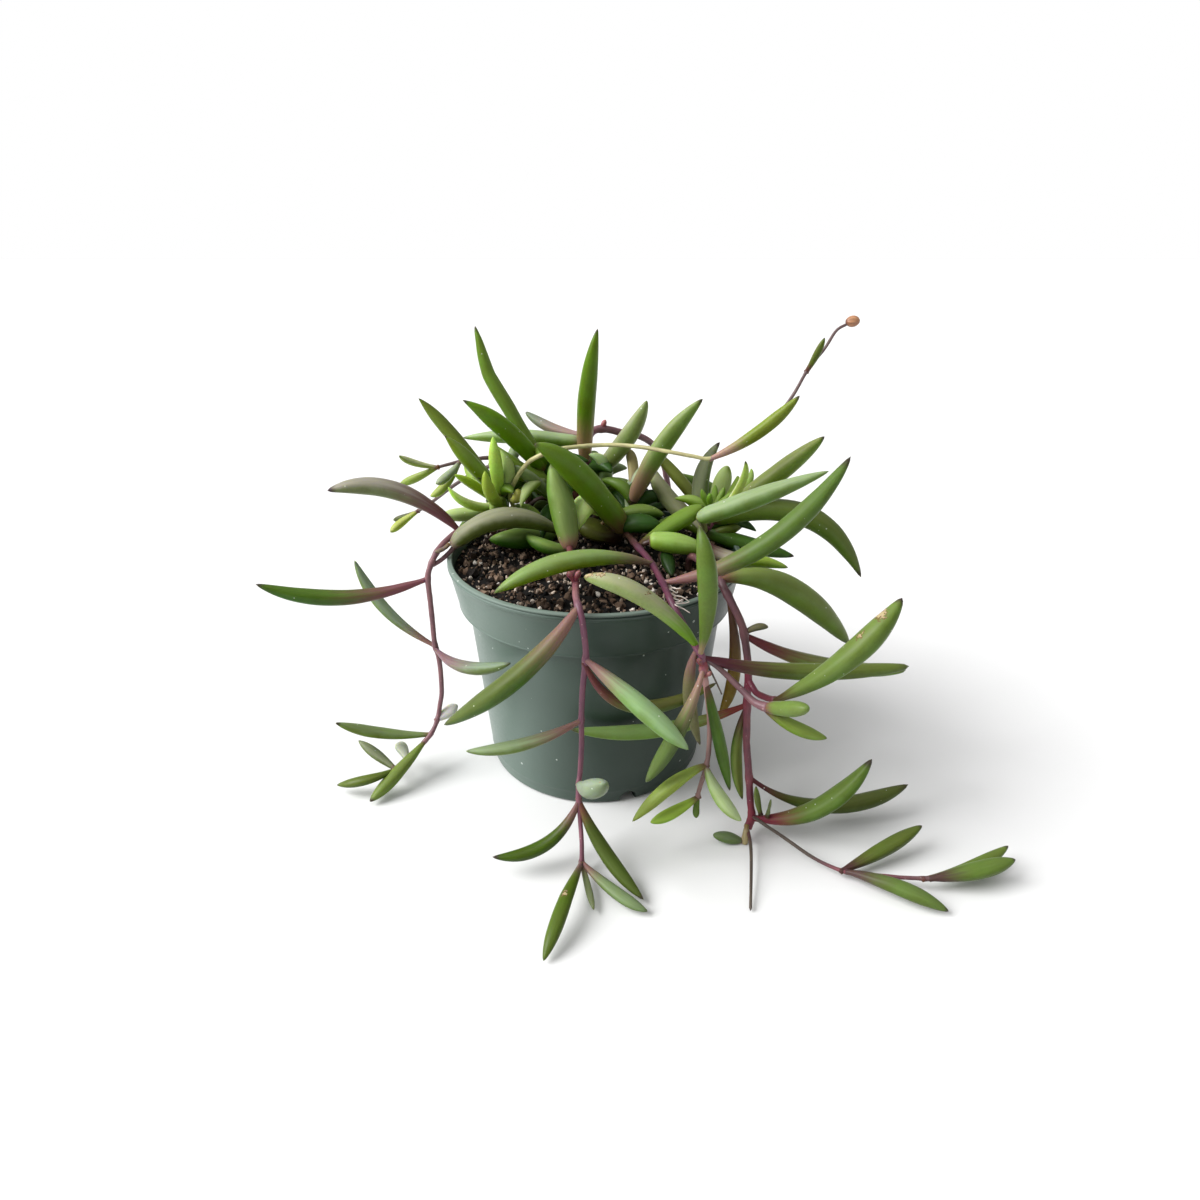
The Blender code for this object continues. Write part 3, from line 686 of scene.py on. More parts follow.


# Many leaves have their own tones set lighter or darker to match how lit or shaded each one looks, so their
# colours hold painted light and painted shade.
# Left trailing stem. A leaf is the count of route points where it grows, its middle, its end,
# its width, its finish, its outline if that isn't the stalked one, and values of its own.
leftTrailingStem = [
    stem(
        (1.05, 0.8), [(0, "brown"), (3, "dusty")],
        [(-37, 12, 74), (-37, 12, 80), (-39, 9, 86), (-47, 0, 89), (-52, -5, 87), (-55, -9, 84),
         (-57, -12, 80), (-58, -13, 76), (-58, -13, 68), (-58, -13, 58), (-58, -13, 50), (-57, -13, 43),
         (-57, -14, 31), (-58, -15, 25), (-59, -17, 20), (-61, -20, 16), (-65, -23, 12), (-70, -27, 8),
         (-74, -31, 7)],
        leaf(3.2, (-67.5, -3, 104.3), (-90, -8, 106), 7.2, "dusky", tone=(98, 107, 70), top=(154, 147, 136),
             stalk=(98, 58, 64), reach=0.5, full=0.48),
        leaf(5.8, (-32, -1, 94), (-12.2, 8, 84.6), 8.6, "dusky", "clasping", tone=(84, 96, 41),
             top=(152, 150, 128), wax=0.8, stalk=(128, 112, 96), reach=0.06, root=(-50.4, -5.5, 84.6),
             taper=0),
        leaf(5, (-53, -8.4, 85), (-55.4, -10.4, 84.8), 1.8, "dry", tone=(118, 102, 90), top=(140, 124, 112),
             root=(-51, -6, 86)),
        leaf(7, (-88, -15, 69.7), (-115, -20, 77), 6.3, "green", tone=(51, 85, 4), top=(93, 114, 38),
             stalk=(104, 60, 66), reach=0.5),
        leaf(10.1, (-76.4, -5, 59.6), (-87, 0, 77.3), 4.6, "waxy", tone=(92, 112, 57), top=(144, 159, 138)),
        leaf(10.3, (-44, -31, 51), (-27, -42, 59), 5, "waxy", tone=(87, 106, 54), top=(135, 151, 132),
             stalk=(122, 92, 98), reach=0.6),
        leaf(14, (-56, -14, 21), (-52, -12, 23), 5.1, "pale", tone=(189, 190, 180), top=(219, 213, 212),
             reach=0.1),
        leaf(15.1, (-78, -23, 18), (-93, -28, 26), 4.7, "bright", tone=(94, 116, 34), top=(141, 154, 120),
             tip=0.9),
        leaf(15.6, (-72, -32, 7), (-80, -42, 2), 5.2, "bright", tone=(85, 106, 24), top=(128, 141, 83),
             tip=0.9),
        leaf(16.9, (-72, -22, 10), (-75, -18, 9), 4.4, "pale", tone=(162, 173, 154), top=(195, 196, 179),
             reach=0.1),
        leaf(17.7, (-80, -26, 10), (-88, -22, 14), 3.9, "waxy", tone=(88, 101, 48), top=(138, 143, 118),
             reach=0.15),
        leaf(18, (-82, -36, 7), (-94, -34, 3), 4, "bright", tone=(73, 92, 17), top=(110, 121, 61), tip=0.9),
    ),
    stem(
        (0.75, 0.9), [(0, "dusty"), (3, "thin")],
        [(-56.8, -10.5, 79.6), (-53.4, -9, 81.4), (-50.5, -6.4, 83.6), (-49, -5.2, 85.4)],
    ),
]

# Front trailing stem
frontTrailingStem = [
    stem(
        (1.2, 0.7), [(0, "brown"), (4, "ruby"), (5, "dusty"), (7, "plum"), (10, "plum"), (18, "pink")],
        [(-9, 0, 74), (-9, 0, 80), (-9, -4, 85), (-8, -18, 86), (-6, -36, 85.5), (-5.5, -48, 86),
         (-4.5, -54, 85), (-3.5, -56, 82), (-2.5, -57, 73), (-2.5, -57, 69), (-3.5, -58, 59), (-4, -58, 48),
         (-4, -58, 39), (-4.5, -60, 30), (-5, -62, 26), (-5, -64, 21), (-4.5, -67, 15), (-4, -71, 10),
         (-4, -73, 3.5)],
        leaf(2.3, (-11, -4, 99), (-15, 0, 113), 9.2, "tanBase", "clasping", tone=(88, 120, 40),
             top=(152, 168, 106), wax=0.6, stalk=(146, 112, 96), reach=0.18, full=0.46),
        leaf(1.2, (-18, -2.9, 84.2), (-24.6, 2, 86.5), 5.6, "green", "clasping", tone=(60, 100, 24),
             top=(150, 172, 96), wax=0.6),
        leaf(4.1, (-7.4, -39, 88.6), (-8.2, -39, 90), 2.2, "ruby", tone=(112, 66, 68),
             root=(-6.4, -38.6, 86.8), taper=0),
        leaf(4.1, (-5.2, -39, 88.8), (-4.2, -39, 90.2), 2.2, "ruby", tone=(98, 56, 60),
             root=(-6, -38.6, 86.8), taper=0),
        leaf(5.9, (-21, -62, 68), (-47, -58, 46), 7.3, "bright", tone=(57, 85, 5), top=(104, 108, 64),
             wax=0.55, stalk=(124, 92, 86), reach=0.42, full=0.5),
        leaf(9, (13, -68, 60.5), (28, -72, 47), 6.6, "pale", tone=(114, 147, 80), top=(153, 182, 135)),
        leaf(9.1, (12, -58, 53), (39, -49, 56), 4.7, "flushed", tone=(71, 88, 21), top=(109, 97, 69)),
        leaf(11, (-21, -62, 42), (-40, -62, 39), 4.5, "waxy", reach=0.45),
        leaf(14, (-1, -76, 36), (3, -88, 47.2), 6.8, "pale", tone=(111, 125, 97), top=(139, 151, 131),
             reach=0.06, tip=0, taper=0, marks=[(0.97, 0.5, 0.7, 0.5)]),
        leaf(14.9, (-15, -71, 10), (-32, -75, 8), 4.7, "green", tone=(51, 74, 4), top=(107, 124, 40),
             wax=0.2, stalk=(116, 82, 80), reach=0.3),
        leaf(14.9, (2.7, -73, 9.5), (15, -87, 2.5), 4.8, "green", tone=(60, 76, 10), top=(114, 127, 73),
             wax=0.25, stalk=(110, 70, 60), reach=0.25),
        leaf(18, (6, -85, 4), (16, -91, 2), 3.9, "waxy", tone=(81, 101, 44), top=(126, 143, 107)),
        leaf(18, (-9, -93, 6), (-14, -108, 1.5), 4.5, "bright", tone=(62, 81, 10), top=(109, 127, 58),
             wax=0.3, stalk=(110, 84, 82), reach=0.2, kink=(0.42, 0.7), marks=[(0.42, 0.3, 0.9, 0.9)]),
        leaf(18, (-2, -82, 3), (0, -91, 2.5), 2.2, "waxy", tone=(84, 100, 48), top=(130, 136, 104)),
    ),
]

# Centre right trailing stem and its side branch
centreRightTrailingStem = [
    stem(
        (1.3, 0.7), [(0, "brown"), (4.6, "brown"), (5.4, "grape"), (8.2, "grape"), (9.2, "plum"),
                     (11, "plum"), (12.2, "blush"), (14, "rosy")],
        [(-1, 22, 74), (-1, 22, 83), (2.5, 16, 90), (6.5, 10, 88), (11, 4, 86.5), (14.5, -7, 86),
         (18.5, -20, 85.5), (21.5, -36, 85), (23, -49, 85), (26.5, -55, 80), (30.5, -59, 74),
         (32, -60, 71.5), (33.5, -60, 63), (35.5, -60, 50), (36, -60, 38), (35.5, -60, 31), (34, -60, 23),
         (33.5, -60, 19)],
        leaf(3.8, (-5.5, -3, 110.6), (-19.6, -10, 122.5), 10.4, "bright", "tongue", tone=(84, 114, 22),
             top=(122, 146, 70), wax=0.25, stalk=(100, 84, 50), reach=0.16, tip=0.9, taper=0.2),
        # This leaf's very pale, bright lime tone is painted light: it lies in the shade of the leaves above
        # it.
        leaf(2, (-3, 3, 97.6), (-6.3, -1, 88.8), 8.6, "lime", "clasping", tone=(206, 246, 120),
             top=(230, 248, 176), reach=0.05),
        # This broad leaf's dark olive tone and dark brown base are painted shade.
        leaf(4.7, (0.5, 13, 84.2), (-8.5, 15, 88.4), 12.5, "olive", "oval", tone=(72, 76, 28),
             top=(84, 90, 44), stalk=(48, 32, 22), reach=0.42, speck=0, root=(10.5, 11, 82.6), thick=0.6),
        leaf(3, (15, 8, 93), (25.5, 8, 91.5), 6.6, "green", "clasping", tone=(64, 96, 24),
             top=(145, 161, 88)),
        leaf(3.5, (16, 3, 90.5), (25, 3, 88), 8, "shade", "clasping"),
        leaf(5.1, (28.5, 0, 91.8), (38.5, 2, 97.2), 7, "bright", tone=(88, 116, 18), top=(124, 147, 76),
             stalk=(78, 58, 40), reach=0.2),
        leaf(5.2, (27, -8, 87.4), (39.2, -8, 84.6), 8.4, "bright", "oval", tone=(118, 154, 50),
             top=(176, 200, 126), stalk=(92, 62, 56), reach=0.05, root=(18.6, -8, 87.9), taper=0),
        leaf(3.2, (4.7, 8, 90.2), (7.6, 5, 92.6), 3, "dry", tone=(128, 108, 84), top=(168, 146, 118),
             root=(2.6, 9, 87.8)),
        leaf(6.2, (-6, -34, 92), (-31, -42, 84), 7, "bright", tone=(103, 128, 26), top=(143, 162, 120),
             stalk=(115, 95, 80), reach=0.28),
        leaf(6.2, (25.3, -12, 81.8), (26.3, -19, 79.6), 4.8, "shade", "tongue", tone=(30, 50, 16),
             top=(48, 76, 36), root=(24.8, -7, 83.5)),
        leaf(7, (51, -42, 100), (76, -34, 125), 7.1, "green", tone=(69, 93, 25), top=(104, 123, 72),
             stalk=(124, 88, 86), reach=0.34),
        leaf(10.6, (32.6, -60.6, 68.4), (32.2, -61, 66), 3, "ruby", tone=(122, 78, 80), top=(146, 104, 102),
             root=(32, -60, 71.6), taper=0),
        leaf(11.2, (31.4, -61, 70.4), (30.6, -61.4, 71.8), 2, "ruby", tone=(112, 66, 70),
             root=(32.2, -60.6, 69), taper=0),
        leaf(11.6, (34, -61.2, 66.6), (34.8, -61.8, 67.2), 1.9, "ruby", tone=(128, 86, 86),
             root=(33, -60.6, 65.6), taper=0),
        leaf(9.8, (14.2, -62, 92.4), (-2.8, -58, 96.6), 6.3, "pale", tone=(126, 140, 86),
             top=(160, 158, 128), wax=0.75, stalk=(100, 138, 34), full=0.36, taper=0.15,
             marks=[(0.97, -0.4, 0.9, 2.2), (0.86, -0.3, 0.8, 1.2), (0.5, -0.4, 0.7, 0.6)]),
        leaf(10.5, (31, -70, 97), (28, -66, 115), 5.6, "waxy", tone=(83, 103, 42), top=(135, 144, 129),
             wax=0.6, stalk=(140, 118, 96), reach=0.14),
        leaf(11, (62, -52, 62), (102, -42, 57.8), 6, "green", tone=(72, 92, 14), top=(127, 137, 79),
             stalk=(84, 44, 52), reach=0.42, tip=0.3, full=0.42, taper=0),
        leaf(11.4, (27, -66, 54), (16, -66, 30), 5.5, "bright", "petioled", tone=(66, 87, 28),
             top=(113, 131, 79), stalk=(140, 108, 100), reach=0.5),
        leaf(10.1, (29, -58, 59), (34, -55, 36), 4.2, "olive", tone=(103, 101, 70), top=(120, 116, 82),
             stalk=(120, 88, 84), reach=0.4),
        leaf(12, (38, -62, 46), (43, -64, 25), 4.4, "green", tone=(55, 84, 9), top=(93, 120, 43)),
        leaf(14.9, (25, -64, 28), (12, -68, 16), 4.8, "bright", tone=(123, 142, 41), top=(143, 158, 101),
             reach=0.2),
        leaf(14.9, (39, -67, 26), (46, -71, 19), 4.7, "pale", tone=(131, 157, 81), top=(172, 187, 143),
             reach=0.15),
        leaf(17, (26, -63, 16), (18, -65, 13), 4.2, "lime", tone=(127, 160, 38), top=(177, 203, 98),
             stalk=(104, 76, 66), reach=0.2, tip=0.2),
        leaf(17, (33, -62, 16), (33, -64, 14), 2.2, "green"),
    ),
    stem(
        (0.65, 1.3), [(0, "thin"), (2, "ash"), (4, "dusty")],
        [(33, -60, 71), (38, -60, 67), (43, -64, 63.5), (47, -68, 61), (50.5, -71, 61)],
        leaf(4, (54.8, -78, 65.6), (57.8, -84, 69.4), 5.2, "fresh", "oval", tone=(98, 118, 58),
             top=(112, 134, 72), wax=0.3, stalk=(112, 78, 72), reach=0.2, tip=0, taper=0),
        leaf(3.5, (57, -74, 57), (67, -76, 54), 4.3, "bright", tone=(94, 117, 26), top=(142, 155, 92),
             stalk=(84, 56, 48), reach=0.3),
    ),
    stem(
        (0.9, 1), [(0, "brown")],
        [(15, -6.4, 85.8), (16.4, -7, 86.2), (17.8, -7.6, 87), (19.4, -8, 87.8)],
    ),
    stem(
        (2.1, 1.4), [(0, "brown")],
        [(1, 17.4, 91.4), (3.6, 14, 89.6), (6.6, 9.8, 88), (9.6, 6, 87)],
    ),
    stem(
        (0.35, 0.22), [(0, "dead")],
        [(33, -60, 70), (34.3, -60, 67.8), (36.5, -61, 63.6), (38.6, -61, 59)],
    ),
]

# Right trailing stem, its side branch on the surface, the long leaf stalk and the dry stalk
rightTrailingStem = [
    stem(
        (1.3, 1.2), [(0, "brown"), (3, "ash"), (7.6, "ash"), (9, "crimson"), (10, "crimson"), (11, "ruby"),
                     (13, "ruby"), (14, "crimson")],
        [(33, -8, 74), (33, -8, 80), (34, -13, 84), (40, -28, 84), (40.5, -36, 84), (43, -40, 80),
         (46.5, -42, 73), (48, -43, 67), (49, -44, 61.5), (49.5, -45, 56.5), (49.5, -46, 49.5),
         (50, -47, 40.5), (50.5, -48, 31), (51.5, -50, 22.5), (52.5, -53, 11.5), (53, -55, 7),
         (51.5, -57, 3)],
        leaf(3.7, (62, -30, 81), (88, -24, 56), 10, "dark", tone=(94, 116, 44), top=(120, 120, 84),
             stalk=(96, 66, 52), reach=0.14),
        leaf(3.2, (49, -24, 87), (65, -20, 83), 5, "tanBase", tone=(110, 144, 13), top=(186, 204, 108)),
        leaf(4.6, (47, -34, 53), (43, -34, 33), 4.4, "olive", tone=(111, 91, 37), top=(125, 110, 54),
             stalk=(84, 58, 44), reach=0.5),
        leaf(6.5, (51, -42, 72), (55, -42, 72), 2.6, "olive", tone=(80, 79, 60), top=(115, 108, 84),
             stalk=(84, 60, 50), taper=0),
        leaf(6.5, (74.3, -36, 55.5), (105.8, -32, 50.4), 5.8, "flushed", tone=(87, 114, 31),
             top=(133, 126, 102), stalk=(104, 50, 56), reach=0.4, tip=0.3, full=0.42, taper=0),
        leaf(10.4, (22, -46, 36), (-8, -49, 38), 5.6, "green", tone=(102, 130, 54), top=(132, 154, 109),
             stalk=(110, 45, 40), reach=0.28),
        leaf(10.5, (48, -45, 26), (51, -48, 8), 4.2, "olive", tone=(69, 93, 20), top=(142, 148, 82)),
        leaf(13.2, (77, -52, 9), (108, -46, 13), 6.1, "dark", "petioled", tone=(63, 79, 11),
             top=(98, 100, 59), stalk=(88, 44, 48), reach=0.26),
        leaf(15.1, (72, -61, 15), (87, -62, 36), 7, "green", tone=(70, 95, 16), top=(111, 127, 75),
             stalk=(124, 48, 66), reach=0.36),
        leaf(15.1, (54.6, -55, 12.9), (53.6, -54, 18.8), 2.3, "dark", tone=(98, 112, 56),
             root=(55.8, -56, 8.2)),
        leaf(15, (57.7, -58, 12.9), (58, -58, 16.7), 1.2, "dark", tone=(96, 104, 72),
             root=(57.4, -58, 9.1)),
        leaf(15, (61, -54, 5), (67, -52, 7), 2.9, "olive"),
        leaf(15.9, (45.6, -60, 1.9), (39.5, -60, 3.2), 4.2, "waxy", tone=(84, 104, 56), top=(112, 126, 92),
             reach=0.2, tip=0.2, root=(50.1, -60, 0.1), taper=0),
        leaf(15.9, (50.3, -60, 1.9), (50.2, -61, -2.5), 2.3, "dry", tone=(118, 104, 76),
             root=(51, -58, 6.1), taper=0),
    ),
    stem(
        (0.55, 0.65), [(0, "ruby"), (0.6, "dead"), (3, "dead"), (4.4, "ruby"), (6, "ruby"), (9, "thin")],
        [(53, -55, 7), (55.5, -61, 9), (62, -65, 6.5), (69, -70, 4), (74.5, -73.5, 3), (80, -76.5, 3),
         (87.5, -77.5, 3), (95, -79, 3.5), (102, -80.5, 4.5), (105.5, -81, 5)],
        leaf(4.7, (92, -70, 6), (107, -63, 10), 5, "green", tone=(66, 84, 14), top=(110, 119, 63),
             stalk=(72, 48, 46), reach=0.3),
        leaf(5, (92, -84, 5), (106, -91, 2), 5.2, "green", tone=(75, 97, 20), top=(113, 131, 83),
             stalk=(82, 62, 60), reach=0.38),
        leaf(8.5, (117, -80, 7), (131, -77, 9), 5.7, "green", tone=(72, 96, 16), stalk=(76, 56, 52),
             reach=0.36, tip=1),
        leaf(8, (117, -77, 5), (133, -69, 7), 4.4, "green", tone=(71, 94, 15), top=(120, 134, 71)),
    ),
    stem(
        (1.1, 1), [(0, "crimson"), (3, "ruby")],
        [(49.5, -45, 54.5), (51.3, -50, 53), (53.4, -55, 54.2), (55.3, -60, 56.5)],
        leaf(3, (72.4, -66, 74.5), (87, -62, 92), 8, "green", tone=(82, 106, 32), top=(128, 142, 86),
             stalk=(74, 60, 38), reach=0.16, tip=1, marks=[(0.84, -0.2, 1, 1.7), (0.66, 0.2, 1, 0.8)]),
    ),
    stem(
        (0.6, 0.45), [(0, "ruby"), (1, "dead")],
        [(51.5, -57, 3.5), (51, -66, 4), (49.5, -76, 3), (47, -90, 1)],
    ),
]

# The rosettes and upright shoots of the crown
leftRosette = [
    stem(
        (1.7, 1.4), [(0, "brown"), (3, "plum")],
        [(-33, 22, 74), (-33, 22, 82), (-35, 19, 92), (-35, 17, 97)],
        leaf(2, (-43, 10, 102), (-49, 4, 108), 5.6, "lime", "clasping", tone=(124, 154, 28),
             top=(173, 196, 74), thick=0.7),
        leaf(1.9, (-45, 10, 95), (-52, 6, 103), 5.6, "lime", "clasping", tone=(166, 202, 78),
             top=(238, 238, 195), thick=0.7),
        leaf(1.7, (-48, 14, 90), (-56, 10, 91), 6, "pale", "clasping", tone=(132, 154, 83),
             top=(188, 203, 144), reach=0.1),
        leaf(3, (-35, 9, 109), (-35, 6, 121), 4.9, "fresh", "clasping", tone=(164, 196, 86),
             top=(200, 216, 144)),
        leaf(1.8, (-37, 5, 101), (-38, 2, 110), 4.6, "fresh", "clasping", tone=(139, 162, 59),
             top=(180, 194, 111)),
        leaf(2.7, (-31, 13, 106), (-33.5, 12, 114.5), 4.4, "pale", "clasping", tone=(162, 183, 113),
             top=(232, 238, 195), reach=0.1),
        leaf(2.7, (-44, 14, 109), (-53, 12, 120), 6.4, "bright", "clasping", tone=(93, 115, 17),
             top=(143, 155, 108), wax=0.3, tip=0.9, taper=0.3),
        leaf(2.7, (-44, 24, 100), (-49, 26, 106), 5.6, "waxy", "clasping", tone=(138, 169, 72),
             top=(175, 194, 132), reach=0.1),
        leaf(3, (-53, 26, 117), (-64, 26, 130), 5.6, "bright", "clasping", tone=(88, 107, 21),
             top=(133, 142, 75), wax=0.3, tip=0.9, taper=0.3),
    ),
]

leftTallShoot = [
    stem(
        (1.7, 1.3), [(0, "brown"), (3, "plum")],
        [(-15, 29, 74), (-15, 29, 83), (-19, 26, 100), (-21, 27, 108)],
        leaf(3, (-35, 30, 132.5), (-43, 34, 154), 5.8, "bright", "tongue", tone=(86, 114, 22),
             top=(124, 144, 72), wax=0.35, tip=1, kink=(0.62, -1.3)),
        leaf(2.3, (-30.7, 14, 121), (-45, 8, 133), 7.8, "green", "clasping", tone=(83, 118, 4),
             top=(111, 144, 21), wax=0.3, reach=0.1, tip=1, taper=0.3),
        leaf(2, (-28, 18, 106), (-36, 17, 115), 7.4, "bright", "clasping", tone=(117, 146, 41),
             top=(155, 179, 95), tip=0.6),
        leaf(1.6, (-23.6, 16, 103.4), (-30.2, 15, 108), 4.8, "pale", "clasping", reach=0.05),
        leaf(0.4, (-26, 7.4, 83.4), (-38.8, 7, 82.6), 9, "green", "clasping", tone=(52, 92, 20),
             top=(150, 172, 96), wax=0.6),
        leaf(1.9, (-23.6, 13, 101), (-26.8, 8, 94.6), 4.2, "fresh", "clasping", tone=(134, 162, 67),
             top=(208, 220, 163)),
        leaf(0.6, (-22.3, 40, 87.6), (-27.7, 42, 89), 6.5, "shade", "clasping"),
        leaf(0.8, (-19.5, 33, 86.2), (-24.4, 30, 86.4), 5, "dark", "clasping"),
    ),
    stem(
        (1.3, 1), [(0, "brown")],
        [(-26.4, 36, 85.4), (-22.6, 36.5, 88), (-18.4, 37, 88.6), (-15.6, 36, 86.6)],
    ),
]

middleShoot = [
    stem(
        (1.7, 1), [(0, "brown"), (3, "plum"), (5, "dusty")],
        [(2, 38, 74), (2, 38, 84), (-2, 36, 100), (-5, 35, 108), (-2, 38, 114), (2.5, 40, 115.5),
         (10.5, 44, 113), (18, 48, 110.5), (24.5, 54, 104.5), (29, 60, 94), (32, 65, 80), (33, 67, 64),
         (32, 69, 48), (30, 72, 34)],
        leaf(2.5, (-3, 28, 130), (1, 26, 154), 6.8, "tanBase", "tongue", tone=(80, 108, 10),
             top=(122, 146, 48), wax=0.35, stalk=(146, 118, 88), reach=0.36, tip=1),
        leaf(1.8, (11, 26, 114.5), (18.6, 22, 130), 7.8, "pale", "clasping", tone=(114, 130, 74),
             top=(160, 164, 130), reach=0.1),
        leaf(1.5, (-6.3, 30, 92.5), (-10.4, 29, 90.4), 4.4, "ruby", tone=(84, 42, 34), top=(96, 52, 40),
             reach=0.02, tip=0),
        leaf(1.3, (4, 29, 103), (-2.5, 28, 108.6), 5.4, "pale", "clasping", tone=(134, 159, 108),
             top=(206, 206, 178), reach=0.05),
        leaf(3.4, (-26, 38, 113), (-52, 42, 111.5), 6.6, "waxy", "clasping", tone=(116, 148, 54),
             top=(166, 182, 146), reach=0.12),
        leaf(3.9, (-16, 46, 114), (-28, 54, 119), 4.8, "pale", tone=(85, 99, 66), top=(121, 131, 114),
             stalk=(156, 128, 124), reach=0.7, taper=0),
        leaf(5, (3, 40, 117), (4, 40, 119), 2.4, "ruby"),
        leaf(9.2, (48, 68, 84), (63, 76, 72), 6, "green"),
        leaf(9.9, (16, 76, 74), (-2, 84, 62), 6.2, "dusky"),
        leaf(10.8, (44, 78, 60), (56, 88, 44), 5.4, "green"),
        leaf(11.6, (18, 78, 50), (6, 86, 34), 5.2, "waxy"),
        leaf(12.4, (42, 80, 36), (52, 88, 22), 4.6, "green"),
        leaf(13, (24, 78, 24), (18, 86, 12), 4.6, "bright"),
        leaf(13, (34, 80, 26), (38, 90, 18), 3.8, "green"),
    ),
]

centreRightShoot = [
    stem(
        (1.6, 1.3), [(0, "brown")],
        [(15, 21, 74), (15, 21, 83), (14, 18, 94)],
        leaf(2, (23, 13, 115), (37, 10, 133), 7.8, "tanBase", "oval", tone=(98, 122, 52),
             top=(146, 156, 110), wax=0.7, stalk=(134, 106, 88), reach=0.4, tip=0.9),
        leaf(2, (14, 27, 106), (10.9, 29, 109.1), 4.2, "dry", "clasping", tone=(134, 120, 82),
             top=(158, 148, 108), taper=0),
        leaf(0.9, (14, 22, 97), (20, 26, 105), 5.4, "pale", "clasping", reach=0.05),
        leaf(1, (10.4, 30, 90.1), (6.1, 34, 92), 5.4, "shade", "clasping"),
        leaf(1.2, (24.1, 30, 88), (30.8, 30, 84.7), 6, "shade", "clasping"),
    ),
    stem(
        (0.8, 0.7), [(0, "brown")],
        [(14.5, 22, 90), (17.2, 28, 96), (20.9, 25, 94.2), (24.5, 22, 91.9)],
    ),
]

# The small star of leaves at the right
starLeaf = dict(tone=(94, 124, 36), top=(128, 152, 78), root=(42.1, 7, 94.4), reach=0.04)

rightRosette = [
    stem(
        (1.7, 1.4), [(0, "brown"), (2, "plum")],
        [(41, 12, 74), (41, 12, 82), (44, 10, 90)],
        leaf(1.8, (63, 4, 108), (78, 2, 122), 7.6, "green", "clasping", tone=(88, 113, 22),
             top=(141, 142, 99), wax=0.6, tip=1),
        leaf(1, (52, -15, 105.6), (75.6, -16, 115.2), 7.4, "pale", "tongue", tone=(94, 122, 54),
             top=(148, 164, 126), reach=0.02, root=(35.2, -9, 96.4)),
        leaf(1.7, (74, 2, 94.2), (95.8, -4, 72.2), 9.2, "dark", "clasping", tone=(73, 95, 26),
             top=(96, 104, 59), wax=0.6, reach=0.05, tip=1),
        leaf(1.2, (55.3, 6, 81.4), (72.5, 2, 78), 7, "shade", "clasping", tone=(50, 83, 17),
             top=(97, 131, 61), tip=1),
        leaf(1, (49, 10, 86), (56.4, 12, 89.5), 6, "olive", "clasping", tone=(75, 90, 25),
             top=(92, 107, 36)),
        leaf(0.5, (49.4, -8, 80.6), (58, -14, 81), 6.4, "dusky", "clasping", tone=(132, 128, 104),
             top=(160, 152, 136)),
        leaf(1.3, (38.4, 14, 101.5), (44.3, 13, 117.2), 6.4, "waxy", "tongue", tone=(92, 108, 60),
             top=(132, 136, 111), reach=0.1, tip=1),
        leaf(1.7, (32, 24, 100), (20, 32, 111), 5, "bright", "clasping", tone=(92, 98, 35),
             top=(120, 132, 58), stalk=(92, 70, 54)),
        leaf(1.2, (26.8, 20, 95), (22, 24, 105), 7.2, "pale", "tongue", tone=(128, 136, 94),
             top=(170, 170, 136), reach=0.05),
        leaf(1.8, (47.6, 24, 97.5), (50, 26, 104.4), 7, "pale", "clasping", tone=(124, 146, 68),
             top=(146, 162, 102), taper=0),
        leaf(2, (50, 12, 98), (52, 16, 104), 4.5, "fresh", "clasping", tone=(92, 114, 30),
             top=(120, 140, 60)),
        leaf(2, (50.5, 2, 104), (51, -2, 114.6), 3.2, "fresh", "clasping", tone=(157, 177, 86),
             top=(238, 234, 210), tip=0.9),
        leaf(2, (55, 18, 98), (58, 22, 105), 3.4, "lime", "clasping"),
        leaf(2, (39.4, 7, 98.5), (38.1, 7, 101.8), 2.6, "fresh", "clasping", **starLeaf),
        leaf(2, (40.5, 2, 99.4), (40.3, 2, 102), 2.4, "fresh", "clasping", **starLeaf),
        leaf(2, (43.1, 9, 98.6), (43, 9, 102.7), 2.6, "fresh", "clasping", **starLeaf),
        leaf(2, (44.9, 8, 98.5), (46.1, 8, 102.3), 2.8, "fresh", "clasping", **starLeaf),
        leaf(2, (46.4, 6, 98.3), (48.7, 6, 101), 2.6, "fresh", "clasping", **starLeaf),
    ),
    stem(
        (1, 0.9), [(0, "green")],
        [(41, 11, 84), (38.5, 4, 91), (36, -4, 95), (36.5, -9, 96.6)],
    ),
]

# The thin stems at the back left, and the stem that hangs down behind the pot
backLeftStem = [
    stem(
        (1.3, 0.6), [(0, "brown"), (5, "thin")],
        [(-26, 36, 74), (-26, 36, 83), (-31, 43, 95), (-40, 46, 102), (-53, 44, 101.5), (-63.5, 42, 99.5)],
        leaf(5, (-71, 40, 102), (-76, 36, 106), 3.2, "waxy", tone=(127, 140, 66), top=(198, 199, 161),
             reach=0.15),
        leaf(5, (-72, 44, 95), (-80, 48, 91), 4, "lime", tone=(112, 132, 41), top=(156, 167, 106)),
        leaf(4.1, (-58, 36, 98), (-62, 32, 96), 3.8, "waxy", tone=(105, 121, 62), top=(163, 172, 152),
             reach=0.15),
        leaf(4.1, (-60, 40, 93), (-66, 38, 89), 4, "lime", tone=(125, 142, 44), top=(174, 181, 114)),
    ),
    stem(
        (0.9, 0.6), [(0, "thin")],
        [(-37, 46, 101), (-48, 49, 96), (-58, 50, 90), (-70, 54, 80.5), (-76.5, 56, 76)],
        leaf(4, (-83, 58, 73), (-88, 60, 71), 3.1, "green", tone=(67, 77, 20), top=(111, 111, 92)),
        leaf(4, (-83, 54, 72), (-87, 50, 69), 4, "bright", tone=(133, 149, 37), top=(200, 198, 132)),
    ),
]

